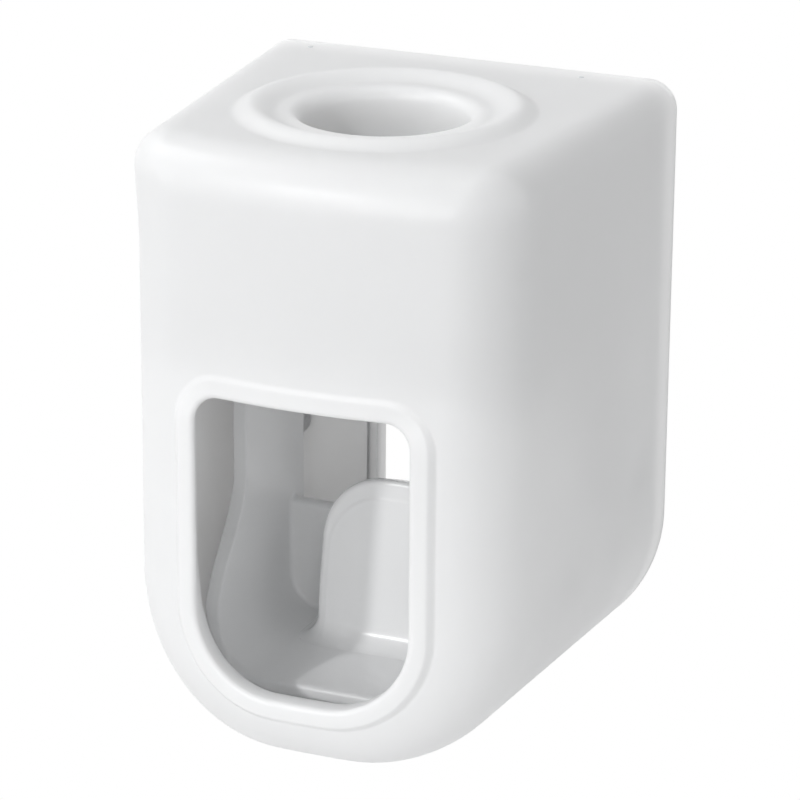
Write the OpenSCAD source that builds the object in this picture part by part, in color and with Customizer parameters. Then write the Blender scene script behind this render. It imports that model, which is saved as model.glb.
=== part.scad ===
// Wall-mounted toothpaste dispenser with a hands-free push pump.
// The origin is the middle of the adhesive's wall face. The front faces -Y and up is +Z.
// Inside seat(), y runs back from the casing's front crest and z up from its lowest point.

/* [Casing] */
// Width of the casing at its back edge
body_w = 62; // [60:0.5:68]
// Depth of the casing from its front crest to its back edge
body_d = 58.2; // [57:0.2:64]
// Height of the casing at its back edge
body_h = 85.7; // [85:0.1:92]
// Wall thickness of the casing
wall = 2.2; // [1.6:0.1:2.4]
// How far each side leans in from back to front
side_draft = 3.1; // [1:0.1:3.5]
// How far the top falls from back to front
top_draft = 0.5; // [0:0.1:1]
// How far the front face curves back at its sides
crown = 5.2; // [4:0.1:5.6]
// Radius of the bottom corners
bottom_r = 22.8; // [20:0.2:24]
// Radius of the top corners at the back edge
top_back_r = 4; // [3:0.5:6]
// Radius of the top corners at the front
top_front_r = 6.4; // [5:0.2:8]
// Radius of the front edge along the sides and the bottom
edge_r = 8.8; // [6:0.2:10]
// Radius of the front edge along the top
top_edge_r = 6.4; // [4:0.2:8]

/* [Window] */
// Width of the brush window
window_w = 31; // [28:0.5:32]
// Height of the window's lower edge
window_low = 10.4; // [9.6:0.2:12]
// Height of the casing's front above the window
brow_h = 34.1; // [33.6:0.1:36.6]
// Radius of the window's upper corners
window_top_r = 3.6; // [2:0.2:6]
// Radius of the window's lower corners
window_low_r = 11.6; // [8:0.2:13]
// Width of the raised rim round the window
rim_w = 2.6; // [2:0.1:3]
// Height of the raised rim
rim_h = 0.6; // [0.4:0.1:1]

/* [Tube socket] */
// Radius of the tube hole
hole_r = 11.35; // [10.5:0.05:12]
// Distance of the tube hole from the front crest
hole_y = 28.2; // [27.8:0.1:29]
// Rounding of the hole's lip
lip_r = 1.8; // [1:0.1:2]
// Radius of the raised ring's crest
ring_r = 18.3; // [17.5:0.1:19]
// Width of the raised ring at its foot
ring_w = 7.4; // [5:0.2:8]
// Height of the raised ring
ring_h = 0.9; // [0.5:0.1:1.4]
// Length of the socket wall below the top
socket_l = 7; // [5:0.2:7.2]
// Thickness of the socket wall
socket_wall = 1.8; // [1.2:0.1:2]

/* [Pump] */
// How far the cylinder's axis lies below the top
pump_drop = 26.24; // [25.8:0.02:26.5]
// Bore radius of the cylinder
cylinder_r = 5.5; // [5:0.1:5.6]
// Wall thickness of the cylinder
cylinder_wall = 1.7; // [1.4:0.1:1.8]
// Stroke of the pusher
stroke = 7; // [5:0.5:7]
// Thickness of the deck
deck_t = 1.8; // [1.6:0.1:2]
// Inner radius of the tube cup
cup_r = 9; // [8.6:0.1:9.2]
// Wall thickness of the tube cup
cup_wall = 1.6; // [1.2:0.1:1.6]
// Radius of the bore in the neck seal
neck_r = 6.3; // [5.8:0.1:6.8]
// Wire diameter of the return spring
wire_d = 0.9; // [0.7:0.1:1]
// Turns of the return spring
spring_turns = 5; // [4:0.5:5]
// Radius of the paste ports
port_r = 1.4; // [1:0.1:1.5]

/* [Pusher] */
// Room between the scoop and the casing's widest side
side_room = 8.8; // [8.6:0.1:9.6]
// Thickness of the scoop's walls
scoop_t = 2.2; // [1.8:0.1:2.4]
// Height of the scoop's floor
floor_z = 6; // [5.6:0.1:8]
// Radius between the scoop's floor and sides
scoop_r = 10; // [9:0.5:13]
// Distance of the paddle wall from the casing's back edge
paddle_back = 17.2; // [16.2:0.2:19.2]
// Height of the paddle wall's shoulders
shoulder_z = 22.4; // [20:0.2:26]
// Width of the push pad
pad_w = 25.4; // [20:0.2:28]
// Height of the push pad above the floor
pad_h = 24.7; // [18:0.1:26]
// Radius of the push pad's upper corners
pad_r = 9.6; // [4:0.2:10]
// Thickness of the push pad
pad_t = 7.2; // [4:0.1:8]
// Depth at which the scoop's front edge stands in its lower half
edge_low_y = 17; // [14:0.2:19]
// Depth at which the scoop's front edge stands above the bend
edge_high_y = 26.6; // [22:0.2:30]
// Depth of the lip at the front of the scoop's floor
lip_y = 15; // [13:0.2:16.6]

/* [Back and wall] */
// Thickness of the back cover
cover_t = 2; // [1.6:0.1:2.2]
// Width of the opening in the back cover
opening_w = 24.4; // [20:0.2:26]
// Depth of the collar round that opening
collar_d = 3.4; // [2:0.1:3.6]
// Width of the wall plate
plate_w = 44; // [36:1:46]
// Height of the wall plate
plate_h = 28; // [22:1:30]
// Thickness of the wall plate
plate_t = 1.2; // [1:0.1:1.4]
// Thickness of the adhesive pad
foam_t = 1; // [0.8:0.1:1.2]
// How far the casing lifts before its keyholes let go
lift = 8; // [6:0.5:9]
// Radius of the wall plate's studs
stud_r = 2.2; // [1.8:0.1:2.4]

/* [Fits] */
// Gap between pieces that slide
slide_gap = 0.3; // [0.25:0.05:0.4]
// Gap between fixed pieces that slip together
fit_gap = 0.15; // [0.1:0.05:0.2]
// Radial gap between a screw and its hole
screw_gap = 0.05; // [0.03:0.01:0.08]

/* [Hidden] */
$fn = 64;

// Overlap that joins two shapes of one piece
bite = 0.4;
// Steps round a quarter of the front edge
edge_steps = 8;
// Stations across a ring of the casing
stations = 36;

// The casing's own heights
top_at_hole = body_h - top_draft * (1 - hole_y / body_d);
window_high = body_h - brow_h;

// Depths, from the casing's front crest
wall_y = body_d + 0.56;
foam_y = wall_y - foam_t;
plate_y = foam_y - plate_t;
cover_back = plate_y - slide_gap;
cover_y = cover_back - cover_t;
plate_z = body_h - wall - 4.5 - plate_h / 2;

// Pump heights, from the casing's lowest point
pump_z = top_at_hole - pump_drop;
cylinder_out = cylinder_r + cylinder_wall;
spring_in = cylinder_out + 0.9;
spring_r = spring_in + wire_d / 2;
seat_r = spring_in + wire_d + slide_gap;
deck_z = pump_z + seat_r + 0.1;
deck_top = deck_z + deck_t;
valve_flange_t = 1;
valve_flange_r = 3.8;
inlet_valve_l = 3.8;
outlet_valve_l = 3.2;
valve_skin = 0.8;
valve_tip = 1;
slit_t = 0.2;
seal_low = deck_top + valve_flange_t;
collar_top = top_at_hole - socket_l - slide_gap;
collar_t = 1.2;
collar_wall = 1.4;
collar_skirt = 3.4;
flange_t = 1;
cup_top = collar_top - collar_t - flange_t;
cup_out = cup_r + cup_wall;
shelf_t = 1.2;
spout_l = 3;
spout_low = pump_z - cylinder_out - spout_l;
nozzle_l = 5.4;
nozzle_grip = 2.6;
nozzle_base = 2.4;
nozzle_wall = 1;

// Screws
screw_r = 1.25;
screw_head_r = 2.6;
screw_head_t = 1.8;
screw_l = 7;
screw_x = body_w / 2 - 11;
screw_front = 14;
screw_back_in = 14.2;
screw_back = body_d - screw_back_in;
deck_edge = 4;
boss_r = 3;
small_screw_r = 1;
small_head_r = 2;
small_head_t = 1.2;
small_screw_l = 5;
hole_spare = 1;
cover_boss_r = 2.6;
cover_boss_l = 6.8;
cover_screw_x = body_w / 2 - wall - 3.6;
cover_screw_low = 30;
cover_screw_high = body_h - 9.7;
web_t = 1.6;
web_l = 3.4;

// Pump depths
yoke_t = 2.8;
yoke_front_gap = 0.38;
scoop_out = body_w / 2 - side_room;
scoop_w = 2 * (scoop_out - scoop_t);
yoke_y = max(inner_front(scoop_w / 2), inner_front(scoop_out) - yoke_t) + yoke_front_gap;
mouth_y = yoke_y + yoke_t + stroke + slide_gap;
nose_y = hole_y - port_r - 0.15 - stroke;
rod_r = 3;
spigot_r = 2;
piston_pin_l = 4;
// Piston head and the place of the cup seal behind it
head_y = mouth_y + 0.3;
head_t = 1.4;
seal_y = head_y + head_t;
seal_core = 1.8;
seal_lip_t = 0.5;
groove_w = 0.8;
groove_l = 1;
chamber_end = hole_y + port_r + 1.4;
duct_r = 2.6;
duct_wall = 1.2;
nozzle_out = duct_r + duct_wall + fit_gap + nozzle_wall;
seat_t = 1.5;
seat_y = hole_y - nozzle_out - slide_gap - seat_t;

// Pusher
paddle_y = body_d - paddle_back;
arm_back = paddle_y + 4.9;
bend_low = floor_z + 6.9;
bend_rise = 25;
bend_high = floor_z + bend_rise;
rise_high = window_high - 8.6;
runner_y0 = 22;
runner_y1 = arm_back - 1.9;
arm_top = pump_z + 4.8;
runner_t = 1.6;
runner_w = 2.5;
rail_x = scoop_w / 2 - runner_w - 2;
yoke_boss_l = 6;
yoke_boss_h = 5.4;
yoke_sink = 1.4;
rail_front = yoke_y + yoke_t + yoke_boss_l + stroke + 1.5;
rail_back = arm_back + stroke - 1.4;
rail_web_back = screw_back - screw_head_r - 0.5;
rail_t = 1.6;
rail_top = arm_top - runner_t - slide_gap;
boss_w = 4;
yoke_screw_z = pump_z - 0.7;

// Back cover
opening_low = window_low + 1.6;
opening_high = window_high - 1.6;
opening_wall = 1.6;
stud_x = plate_w / 2 - 8;
stud_head_r = stud_r + 1.8;
stud_head_t = 1.4;
// Two tiny moulding marks near the back edge of the top
mark_r = 0.35;
mark_left = 8;
mark_right = 13;
mark_xs = [mark_left - body_w / 2, body_w / 2 - mark_right];
mark_y = body_d - 3.5;

module seat() translate([0, -wall_y, -plate_z]) children();

// Share of the way from the back edge to the front crest
function front_share(y) = max(0, 1 - y / body_d);
function half_w(y) = body_w / 2 - side_draft * front_share(y);
function top_z(y) = body_h - top_draft * front_share(y);
function crown_at(x) = crown * pow(2 * x / body_w, 2);
function clamp01(v) = min(1, max(0, v));
// Depth of the front wall's inner face at one x
function inner_front(x) =
  let (r = edge_r - wall, d = clamp01((x - half_w(0) + edge_r) / r))
  wall + crown_at(x) + r * (1 - sqrt(1 - d * d));

// Upper and lower edge of a casing outline at one x
function upper_at(x, hx, zt, r) =
  let (d = abs(x) - (hx - r)) d <= 0 ? zt : zt - r + sqrt(max(0, r * r - d * d));
function lower_at(x, hx, zb, r) =
  let (d = abs(x) - (hx - r)) d <= 0 ? zb : zb + r - sqrt(max(0, r * r - d * d));

// One ring of points at depth y; s is 1 at the inner end of the front edge's rounding and 0 at its outer end
function ring_points(y, s, t, bulge) =
  let (
    side = max(0.5, edge_r - t),
    top = max(0.5, top_edge_r - t),
    hx = half_w(y) - t - side * s,
    zt = top_z(y) - t - top * s,
    zb = t + side * s,
    k = front_share(y),
    r_top = max(0.4, top_back_r + (top_front_r - top_back_r) * k - t - (side + top) / 2 * s),
    r_low = min(hx, max(1, bottom_r - t - side * s)),
    xs = [for (i = [0:stations]) hx * sin(-90 + 180 * i / stations)],
    pts = concat(
      [for (x = xs) [x, upper_at(x, hx, zt, r_top)]],
      [for (i = [0:stations]) [xs[stations - i], lower_at(xs[stations - i], hx, zb, r_low)]])
  )
  [for (p = pts)
    let (
      up = clamp01((p[1] - (top_z(0) - 1.6 * top_edge_r - 4)) / (top_edge_r + 4)),
      r = side + (top - side) * up
    )
    [p[0], t + (bulge < 0 ? y : r * bulge + crown_at(p[0])), p[1]]];

// Closed body inside the casing's outer form, moved in by t and open_back past the back edge
module shell_form(t, open_back) {
  n = 2 * (stations + 1);
  front = [for (i = [0:edge_steps])
    let (a = 90 * i / edge_steps) ring_points((edge_r - t) * (1 - cos(a)), 1 - sin(a), t, 1 - cos(a))];
  rings = concat(front, [ring_points(body_d + open_back - t, 0, t, -1)]);
  count = len(rings);
  sides = [for (k = [0:count - 2], i = [0:n - 1])
    let (j = (i + 1) % n)
    each [[k * n + i, (k + 1) * n + j, k * n + j], [k * n + i, (k + 1) * n + i, (k + 1) * n + j]]];
  last = (count - 1) * n;
  caps = [for (i = [0:stations - 1])
    let (u = i, v = i + 1, lu = n - 1 - i, lv = n - 2 - i)
    each [[u, v, lv], [u, lv, lu], [last + u, last + lv, last + v], [last + u, last + lu, last + lv]]];
  polyhedron([for (r = rings) each r], concat(sides, caps), convexity = 6);
}

function arc_points(c, r, a0, a1, n) =
  [for (i = [0:n]) let (a = a0 + (a1 - a0) * i / n) [c[0] + r * cos(a), c[1] + r * sin(a)]];

// Upright plate outline with its own radii at the top and the bottom
module tall_outline(w, low, high, r_top, r_low) {
  polygon(concat(
    arc_points([w / 2 - r_top, high - r_top], r_top, 0, 90, 8),
    arc_points([-w / 2 + r_top, high - r_top], r_top, 90, 180, 8),
    arc_points([-w / 2 + r_low, low + r_low], r_low, 180, 270, 14),
    arc_points([w / 2 - r_low, low + r_low], r_low, 270, 360, 14)));
}

// A flat outline drawn in x and z, pushed from y0 to y1
module through_y(y0, y1) translate([0, y1, 0]) rotate([90, 0, 0]) linear_extrude(y1 - y0) children();
// A flat outline drawn in y and z, pushed across x
module across_x(x0, x1) translate([x0, 0, 0]) rotate([90, 0, 90]) linear_extrude(x1 - x0) children();
// A cylinder along y
module rod_y(r, y0, y1) translate([0, y0, 0]) rotate([-90, 0, 0]) cylinder(r = r, h = y1 - y0);
// A cylinder along z
module rod_z(r, z0, z1) translate([0, 0, z0]) cylinder(r = r, h = z1 - z0);

module window_outline(more) {
  tall_outline(window_w + 2 * more, window_low - more, window_high + more,
    window_top_r + more, window_low_r + more);
}

module window_rim() {
  // The front crown is close to a cylinder whose axis stands behind the casing
  crown_r = pow(body_w / 2, 2) / (2 * crown);
  intersection() {
    through_y(-rim_h - 1, wall + 1) window_outline(rim_w);
    translate([0, crown_r, 0]) cylinder(r = crown_r + rim_h, h = body_h, $fn = 360);
  }
}

module top_ring() {
  // A flat arc over the ring's width
  half = ring_w / 2;
  r = (half * half + ring_h * ring_h) / (2 * ring_h);
  span = asin(half / r);
  translate([0, hole_y, top_at_hole]) rotate_extrude($fn = 96) polygon(concat(
    arc_points([ring_r, ring_h - r], r, 90 + span, 90 - span, 8),
    [[ring_r + half, -1], [ring_r - half, -1]]));
}

module hole_lip_cut() {
  translate([0, hole_y, top_at_hole - lip_r]) rotate_extrude($fn = 96) polygon(concat(
    [[0, 0], [hole_r, 0]],
    arc_points([hole_r + lip_r, 0], lip_r, 180, 90, 6),
    [[hole_r + lip_r, lip_r + 3], [0, lip_r + 3]]));
}

function pump_screw_spots() = [for (x = [-screw_x, screw_x], y = [screw_front, screw_back]) [x, y]];
function cover_screw_spots() =
  [for (s = [-1, 1], z = [cover_screw_low, cover_screw_high]) [s * cover_screw_x, z]];

module casing() color("white") seat() {
  difference() {
    union() {
      difference() {
        shell_form(0, 0);
        shell_form(wall, 3);
      }
      window_rim();
      top_ring();
      translate([0, hole_y, 0]) rod_z(hole_r + socket_wall, top_at_hole - socket_l, top_at_hole - 0.5);
      for (p = pump_screw_spots()) translate([p[0], p[1], 0]) rod_z(boss_r, deck_top, body_h - wall);
      for (p = cover_screw_spots()) translate([p[0], 0, p[1]]) {
        rod_y(cover_boss_r, cover_y - cover_boss_l, cover_y);
        // A web ties each boss to the side wall
        translate([p[0] > 0 ? 0 : -web_l, cover_y - cover_boss_l, -web_t / 2]) cube([web_l, cover_boss_l, web_t]);
      }
    }
    through_y(-5, wall + 8) window_outline(0);
    translate([0, hole_y, 0]) rod_z(hole_r, top_at_hole - socket_l - 1, body_h + 5);
    hole_lip_cut();
    for (p = pump_screw_spots()) translate([p[0], p[1], 0])
      rod_z(screw_r + screw_gap, deck_top - 1, deck_top + screw_l + hole_spare);
    for (p = cover_screw_spots()) translate([p[0], 0, p[1]])
      rod_y(small_screw_r + screw_gap, cover_y - small_screw_l - hole_spare, cover_y + 1);
    for (x = mark_xs) translate([x, mark_y, 0]) rod_z(mark_r, body_h - 0.5, body_h + 1);
  }
}

module back_cover() color("whitesmoke") seat() {
  // The collar stops below the reach of the wall plate
  collar_high = plate_z - plate_h / 2 - lift - 0.8;
  difference() {
    union() {
      through_y(cover_y, cover_back) cover_outline();
      through_y(cover_y, cover_y + collar_d) intersection() {
        opening_outline(opening_low - opening_wall, opening_high, opening_w + 2 * opening_wall);
        translate([-opening_w, 0]) square([2 * opening_w, collar_high]);
      }
    }
    through_y(cover_y - 1, cover_y + collar_d + 1) opening_outline(opening_low, opening_high, opening_w);
    for (s = [-1, 1]) translate([s * stud_x, 0, plate_z]) {
      // Keyhole: a slot that hangs on the stud, over a round hole that lets its head through
      translate([0, 0, -lift]) rod_y(stud_head_r + 0.5, cover_y - 1, cover_back + 1);
      rod_y(stud_r + slide_gap, cover_y - 1, cover_back + 1);
      translate([-stud_r - slide_gap, cover_y - 1, -lift]) cube([2 * (stud_r + slide_gap), cover_t + 2, lift]);
    }
    // The screws' heads lie flush in the cover, clear of the wall plate
    for (p = cover_screw_spots()) translate([p[0], 0, p[1]]) {
      rod_y(small_screw_r + slide_gap, cover_y - 1, cover_back + 1);
      rod_y(small_head_r + slide_gap, cover_back - small_head_t, cover_back + 1);
    }
  }
}

module opening_outline(low, high, w) tall_outline(w, low, high, 2, 2);

module cover_outline() {
  g = wall + fit_gap + 0.2;
  hx = half_w(cover_y) - g;
  zt = top_z(cover_y) - g;
  r = bottom_r - g;
  tall_outline(2 * hx, g, zt, max(1, top_back_r - g + 1), min(r, hx));
}

module screw_y(r, head_r, head_t, length) {
  // Head in front of y 0 for a positive length, thread behind it
  rod_y(r, -0.01, length);
  rod_y(head_r, -head_t, 0);
}

module back_screws() color("silver") seat() {
  for (p = cover_screw_spots()) translate([p[0], cover_back - small_head_t, p[1]]) mirror([0, 1, 0])
    screw_y(small_screw_r, small_head_r, small_head_t, cover_t - small_head_t + small_screw_l);
}

module wall_plate() color("gainsboro") seat() {
  through_y(plate_y, foam_y) translate([0, plate_z]) rounded_plate(plate_w, plate_h, 3);
  for (s = [-1, 1]) translate([s * stud_x, 0, plate_z]) {
    rod_y(stud_r, cover_y - slide_gap - bite, plate_y + bite);
    rod_y(stud_head_r, cover_y - slide_gap - stud_head_t, cover_y - slide_gap);
  }
}

module rounded_plate(w, h, r) {
  polygon(concat(
    arc_points([w / 2 - r, h / 2 - r], r, 0, 90, 6),
    arc_points([-w / 2 + r, h / 2 - r], r, 90, 180, 6),
    arc_points([-w / 2 + r, -h / 2 + r], r, 180, 270, 6),
    arc_points([w / 2 - r, -h / 2 + r], r, 270, 360, 6)));
}

module adhesive_pad() color("dimgray") seat() {
  through_y(foam_y, wall_y) translate([0, plate_z]) rounded_plate(plate_w - 2, plate_h - 2, 2.5);
}

module pump_body() color("lavender") seat() {
  difference() {
    union() {
      translate([-screw_x - deck_edge, screw_front - deck_edge, deck_z])
        cube([2 * (screw_x + deck_edge), screw_back - screw_front + 2 * deck_edge, deck_t]);
      translate([0, hole_y, 0]) {
        rod_z(cup_out, deck_z, cup_top);
        rod_z(duct_r + duct_wall, pump_z, deck_top);
        rod_z(duct_r + duct_wall, spout_low, pump_z);
      }
      translate([0, 0, pump_z]) {
        rod_y(cylinder_out, mouth_y, chamber_end + 1.8);
        rod_y(seat_r, seat_y, seat_y + seat_t);
      }
      translate([-3, seat_y, pump_z]) cube([6, chamber_end + 1.8 - seat_y, seat_r + bite]);
      for (s = [-1, 1]) mirror([s < 0 ? 1 : 0, 0, 0]) {
        // Rail: an upright web and the ledge that carries the pusher's runner
        translate([rail_x - rail_t, rail_front, rail_top - rail_t])
          cube([rail_t, rail_web_back - rail_front, deck_z + bite - rail_top + rail_t]);
        translate([rail_x - rail_t, rail_front, rail_top - rail_t])
          cube([scoop_w / 2 - slide_gap - rail_x + rail_t, rail_back - rail_front, rail_t]);
      }
    }
    translate([0, hole_y, 0]) {
      rod_z(cup_r, deck_top, cup_top + 1);
      rod_z(duct_r, pump_z + cylinder_out, deck_top + 1);
      rod_z(duct_r, spout_low - 1, pump_z - cylinder_out);
      rod_z(port_r, pump_z - cylinder_out - 1, pump_z + cylinder_out + 1);
    }
    translate([0, 0, pump_z]) rod_y(cylinder_r, mouth_y - 1, chamber_end);
    for (p = pump_screw_spots()) translate([p[0], p[1], 0])
      rod_z(screw_r + slide_gap, deck_z - 1, deck_top + 1);
  }
}

module pump_screws() color("silver") seat() {
  for (p = pump_screw_spots()) translate([p[0], p[1], 0]) {
    rod_z(screw_r, deck_z - 0.01, deck_top + screw_l);
    rod_z(screw_head_r, deck_z - screw_head_t, deck_z);
  }
}

module neck_seal() color("silver") seat() translate([0, hole_y, 0]) difference() {
  union() {
    rod_z(cup_r - fit_gap, deck_top, cup_top + 0.01);
    rod_z(cup_out, cup_top, cup_top + flange_t);
  }
  rod_z(neck_r, seal_low + shelf_t, cup_top + flange_t + 1);
  rod_z(duct_r, deck_top - 1, seal_low + 2);
  rod_z(valve_flange_r + fit_gap, deck_top - 1, seal_low);
}

module seal_collar() color("white") seat() translate([0, hole_y, 0]) difference() {
  rod_z(cup_out + fit_gap + collar_wall, cup_top - collar_skirt, collar_top);
  rod_z(cup_out + fit_gap, cup_top - collar_skirt - 1, collar_top - collar_t);
  rod_z(cup_r - 0.6, cup_top, collar_top + 1);
}

// Duckbill valve: a flange, a short neck and two lips that close to an edge
module duckbill(length) difference() {
  union() {
    rod_z(valve_flange_r, 0, valve_flange_t);
    rod_z(duct_r - fit_gap, -length * 0.45, 0.01);
    intersection() {
      rod_z(duct_r - fit_gap, -length, -length * 0.45 + 0.01);
      across_x(-duct_r, duct_r) polygon([[-duct_r, -length * 0.45 + 0.01], [duct_r, -length * 0.45 + 0.01],
        [valve_tip / 2, -length], [-valve_tip / 2, -length]]);
    }
  }
  rod_z(duct_r - fit_gap - valve_skin, -length * 0.45, valve_flange_t + 1);
  translate([0, 0, -length]) cube([2 * (duct_r - valve_tip), slit_t, length * 1.2], center = true);
}

module inlet_valve() color("salmon") seat() translate([0, hole_y, deck_top]) duckbill(inlet_valve_l);

module outlet_valve() color("salmon") seat()
  translate([0, hole_y, spout_low - valve_flange_t]) duckbill(outlet_valve_l);

module nozzle() color("white") seat() translate([0, hole_y, spout_low]) difference() {
  union() {
    rod_z(nozzle_out, -nozzle_base, nozzle_grip);
    rod_z(duct_r + slide_gap + nozzle_wall, -nozzle_l, -nozzle_base + bite);
  }
  rod_z(duct_r + duct_wall + fit_gap, -valve_flange_t, nozzle_grip + 1);
  rod_z(duct_r + slide_gap, -nozzle_l - 1, 0);
}

// The return spring is one tube along a helix with a flat last turn at each end
spring_front = yoke_y + yoke_t + 0.1;
spring_back = seat_y - 0.1;
spring_l = spring_back - spring_front - wire_d;
function spring_y(u) =
  let (e = 0.75 / spring_turns)
  u < e ? 0.9 * wire_d * u * spring_turns :
  u > 1 - e ? spring_l - 0.9 * wire_d * (1 - u) * spring_turns :
  0.675 * wire_d + (spring_l - 1.35 * wire_d) * (u - e) / (1 - 2 * e);
function spring_at(u) =
  let (a = 360 * spring_turns * u)
  [spring_r * cos(a), spring_front + wire_d / 2 + spring_y(u), pump_z + spring_r * sin(a)];

// Rings on each turn of the spring
per_turn = 8;
spring_rings = round(spring_turns * per_turn);
spring_points = [for (i = [0:spring_rings]) spring_at(i / spring_rings)];
// Least gap of the spring to itself, over all pairs of rings more than half a turn apart
echo(spring_gap = min([for (i = [0:spring_rings], j = [i + per_turn / 2:1:spring_rings])
  norm(spring_points[i] - spring_points[j])]) - wire_d);

module return_spring() color("silver") seat() {
  n = spring_rings;
  sides = 6;
  pts = [for (i = [0:n], j = [0:sides - 1])
    let (
      a = 360 * spring_turns * i / n,
      b = 360 * j / sides,
      c = spring_points[i],
      rr = wire_d / 2 * cos(b)
    )
    [c[0] + rr * cos(a), c[1] + wire_d / 2 * sin(b), c[2] + rr * sin(a)]];
  walls = [for (i = [0:n - 1], j = [0:sides - 1])
    let (k = (j + 1) % sides)
    each [[i * sides + j, (i + 1) * sides + k, (i + 1) * sides + j],
      [i * sides + j, i * sides + k, (i + 1) * sides + k]]];
  ends = [for (j = [1:sides - 2])
    each [[0, j + 1, j], [n * sides, n * sides + j, n * sides + j + 1]]];
  polyhedron(pts, concat(walls, ends), convexity = 8);
}

// Side view of the scoop: floor lip, S-curved front edge, forward rails, arms
module pusher_side() {
  front = yoke_y + yoke_t;
  polygon(concat(
    [[arm_back, 0], [lip_y, 0]],
    [for (i = [0:6]) let (a = 15 * i)
      [lip_y + (edge_low_y - lip_y) * sin(a), bend_low - (bend_low - floor_z - 0.3) * cos(a)]],
    [for (i = [1:10]) let (u = i / 10)
      [edge_low_y + (edge_high_y - edge_low_y) * u * u * (3 - 2 * u), bend_low + (bend_high - bend_low) * u]],
    [for (i = [0:5]) let (a = 18 * i)
      [edge_high_y - (edge_high_y - front) * (1 - cos(a)), rise_high + (pump_z - 8.6 - rise_high) * sin(a)]],
    [[front, arm_top], [arm_back, arm_top]]));
}

module u_outline(hx, low, r) {
  polygon(concat(
    [[-hx, arm_top + 1]],
    arc_points([-hx + r, low + r], r, 180, 270, 12),
    arc_points([hx - r, low + r], r, 270, 360, 12),
    [[hx, arm_top + 1]]));
}

module pusher() color("white") seat() {
  difference() {
    union() {
      intersection() {
        across_x(-scoop_out, scoop_out) pusher_side();
        difference() {
          through_y(0, arm_back) u_outline(scoop_out, floor_z - scoop_t, scoop_r + scoop_t);
          through_y(-1, arm_back + 1) u_outline(scoop_w / 2, floor_z, scoop_r);
        }
      }
      // Paddle wall, with shoulders beside the pad's backing
      through_y(paddle_y, paddle_y + scoop_t) intersection() {
        u_outline(scoop_out - 0.2, floor_z - scoop_t + 0.2, scoop_r + scoop_t);
        translate([-scoop_out, 0]) square([2 * scoop_out, shoulder_z]);
      }
      through_y(paddle_y, paddle_y + scoop_t) pad_outline(0.8);
      for (s = [-1, 1]) mirror([s < 0 ? 1 : 0, 0, 0]) {
        // Runner along the arm's top edge
        translate([scoop_w / 2 - runner_w, runner_y0, arm_top - runner_t])
          cube([runner_w + bite, runner_y1 - runner_y0, runner_t]);
        // Boss that takes the yoke's screw
        translate([scoop_w / 2 - boss_w, yoke_y + yoke_t, yoke_screw_z - yoke_boss_h / 2])
          cube([boss_w + bite, yoke_boss_l, yoke_boss_h]);
      }
    }
    for (s = [-1, 1]) translate([s * (scoop_w / 2 - boss_w / 2), 0, yoke_screw_z])
      rod_y(small_screw_r + screw_gap, yoke_y, yoke_y + yoke_t + yoke_boss_l - 0.6);
  }
}

module pad_outline(less) {
  w = pad_w / 2 - less;
  high = floor_z + pad_h - less;
  // The sides lean in a little towards a rounded top
  lean = 0.5;
  steps = 12;
  polygon(concat(
    arc_points([w - lean - pad_r, high - pad_r], pad_r, 0, 90, 10),
    arc_points([-w + lean + pad_r, high - pad_r], pad_r, 90, 180, 10),
    // The lower edge follows the scoop's floor
    [for (i = [0:steps]) let (x = w * (2 * i / steps - 1))
      [x, lower_at(x, scoop_w / 2 - fit_gap, floor_z + fit_gap, scoop_r - fit_gap)]]));
}

module push_pad() color("white") seat() {
  hull() {
    through_y(paddle_y - 1.6, paddle_y) pad_outline(0);
    through_y(paddle_y - pad_t, paddle_y - pad_t + 0.5) pad_outline(1.4);
  }
}

module yoke() color("white") seat() {
  difference() {
    union() {
      translate([-scoop_w / 2, yoke_y, pump_z - 4.6]) cube([scoop_w, yoke_t, 8.6]);
      translate([0, 0, pump_z]) rod_y(cylinder_out, yoke_y, yoke_y + yoke_t);
    }
    translate([0, 0, pump_z]) rod_y(spigot_r + fit_gap, yoke_y - 1, yoke_y + yoke_t + 1);
    for (s = [-1, 1]) translate([s * (scoop_w / 2 - boss_w / 2), 0, yoke_screw_z]) {
      rod_y(small_screw_r + slide_gap, yoke_y - 1, yoke_y + yoke_t + 1);
      rod_y(small_head_r + fit_gap, yoke_y - 1, yoke_y + yoke_sink);
    }
  }
}

module yoke_screws() color("silver") seat() {
  for (s = [-1, 1]) translate([s * (scoop_w / 2 - boss_w / 2), yoke_y + yoke_sink, yoke_screw_z])
    screw_y(small_screw_r, small_head_r, small_head_t, yoke_t - yoke_sink + yoke_boss_l - 1.4);
}

module piston() color("ghostwhite") seat() translate([0, 0, pump_z]) difference() {
  union() {
    rod_y(rod_r, yoke_y + yoke_t, head_y + bite);
    rod_y(spigot_r, yoke_y, yoke_y + yoke_t + bite);
    rod_y(cylinder_r - 0.1, head_y, seal_y);
    rod_y(cylinder_r - seal_core, head_y, nose_y);
  }
  rod_y(small_screw_r + screw_gap, yoke_y - 1, yoke_y + piston_pin_l + 0.6);
}

module piston_screw() color("silver") seat() translate([0, yoke_y, pump_z])
  screw_y(small_screw_r, spigot_r + 0.8, small_head_t, piston_pin_l);

module piston_seal() color("dimgray") seat() translate([0, 0, pump_z]) difference() {
  rod_y(cylinder_r - 0.05, seal_y, nose_y);
  rod_y(cylinder_r - seal_core, seal_y - 1, nose_y + 1);
  // The groove that lets the seal's outer lip press on the bore
  translate([0, nose_y - groove_l, 0]) difference() {
    rod_y(cylinder_r - seal_lip_t, 0, groove_l + 1);
    rod_y(cylinder_r - seal_lip_t - groove_w, -1, groove_l + 2);
  }
}

casing();
back_cover();
back_screws();
wall_plate();
adhesive_pad();
pump_body();
pump_screws();
neck_seal();
seal_collar();
inlet_valve();
outlet_valve();
nozzle();
return_spring();
pusher();
push_pad();
yoke();
yoke_screws();
piston();
piston_screw();
piston_seal();
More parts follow.
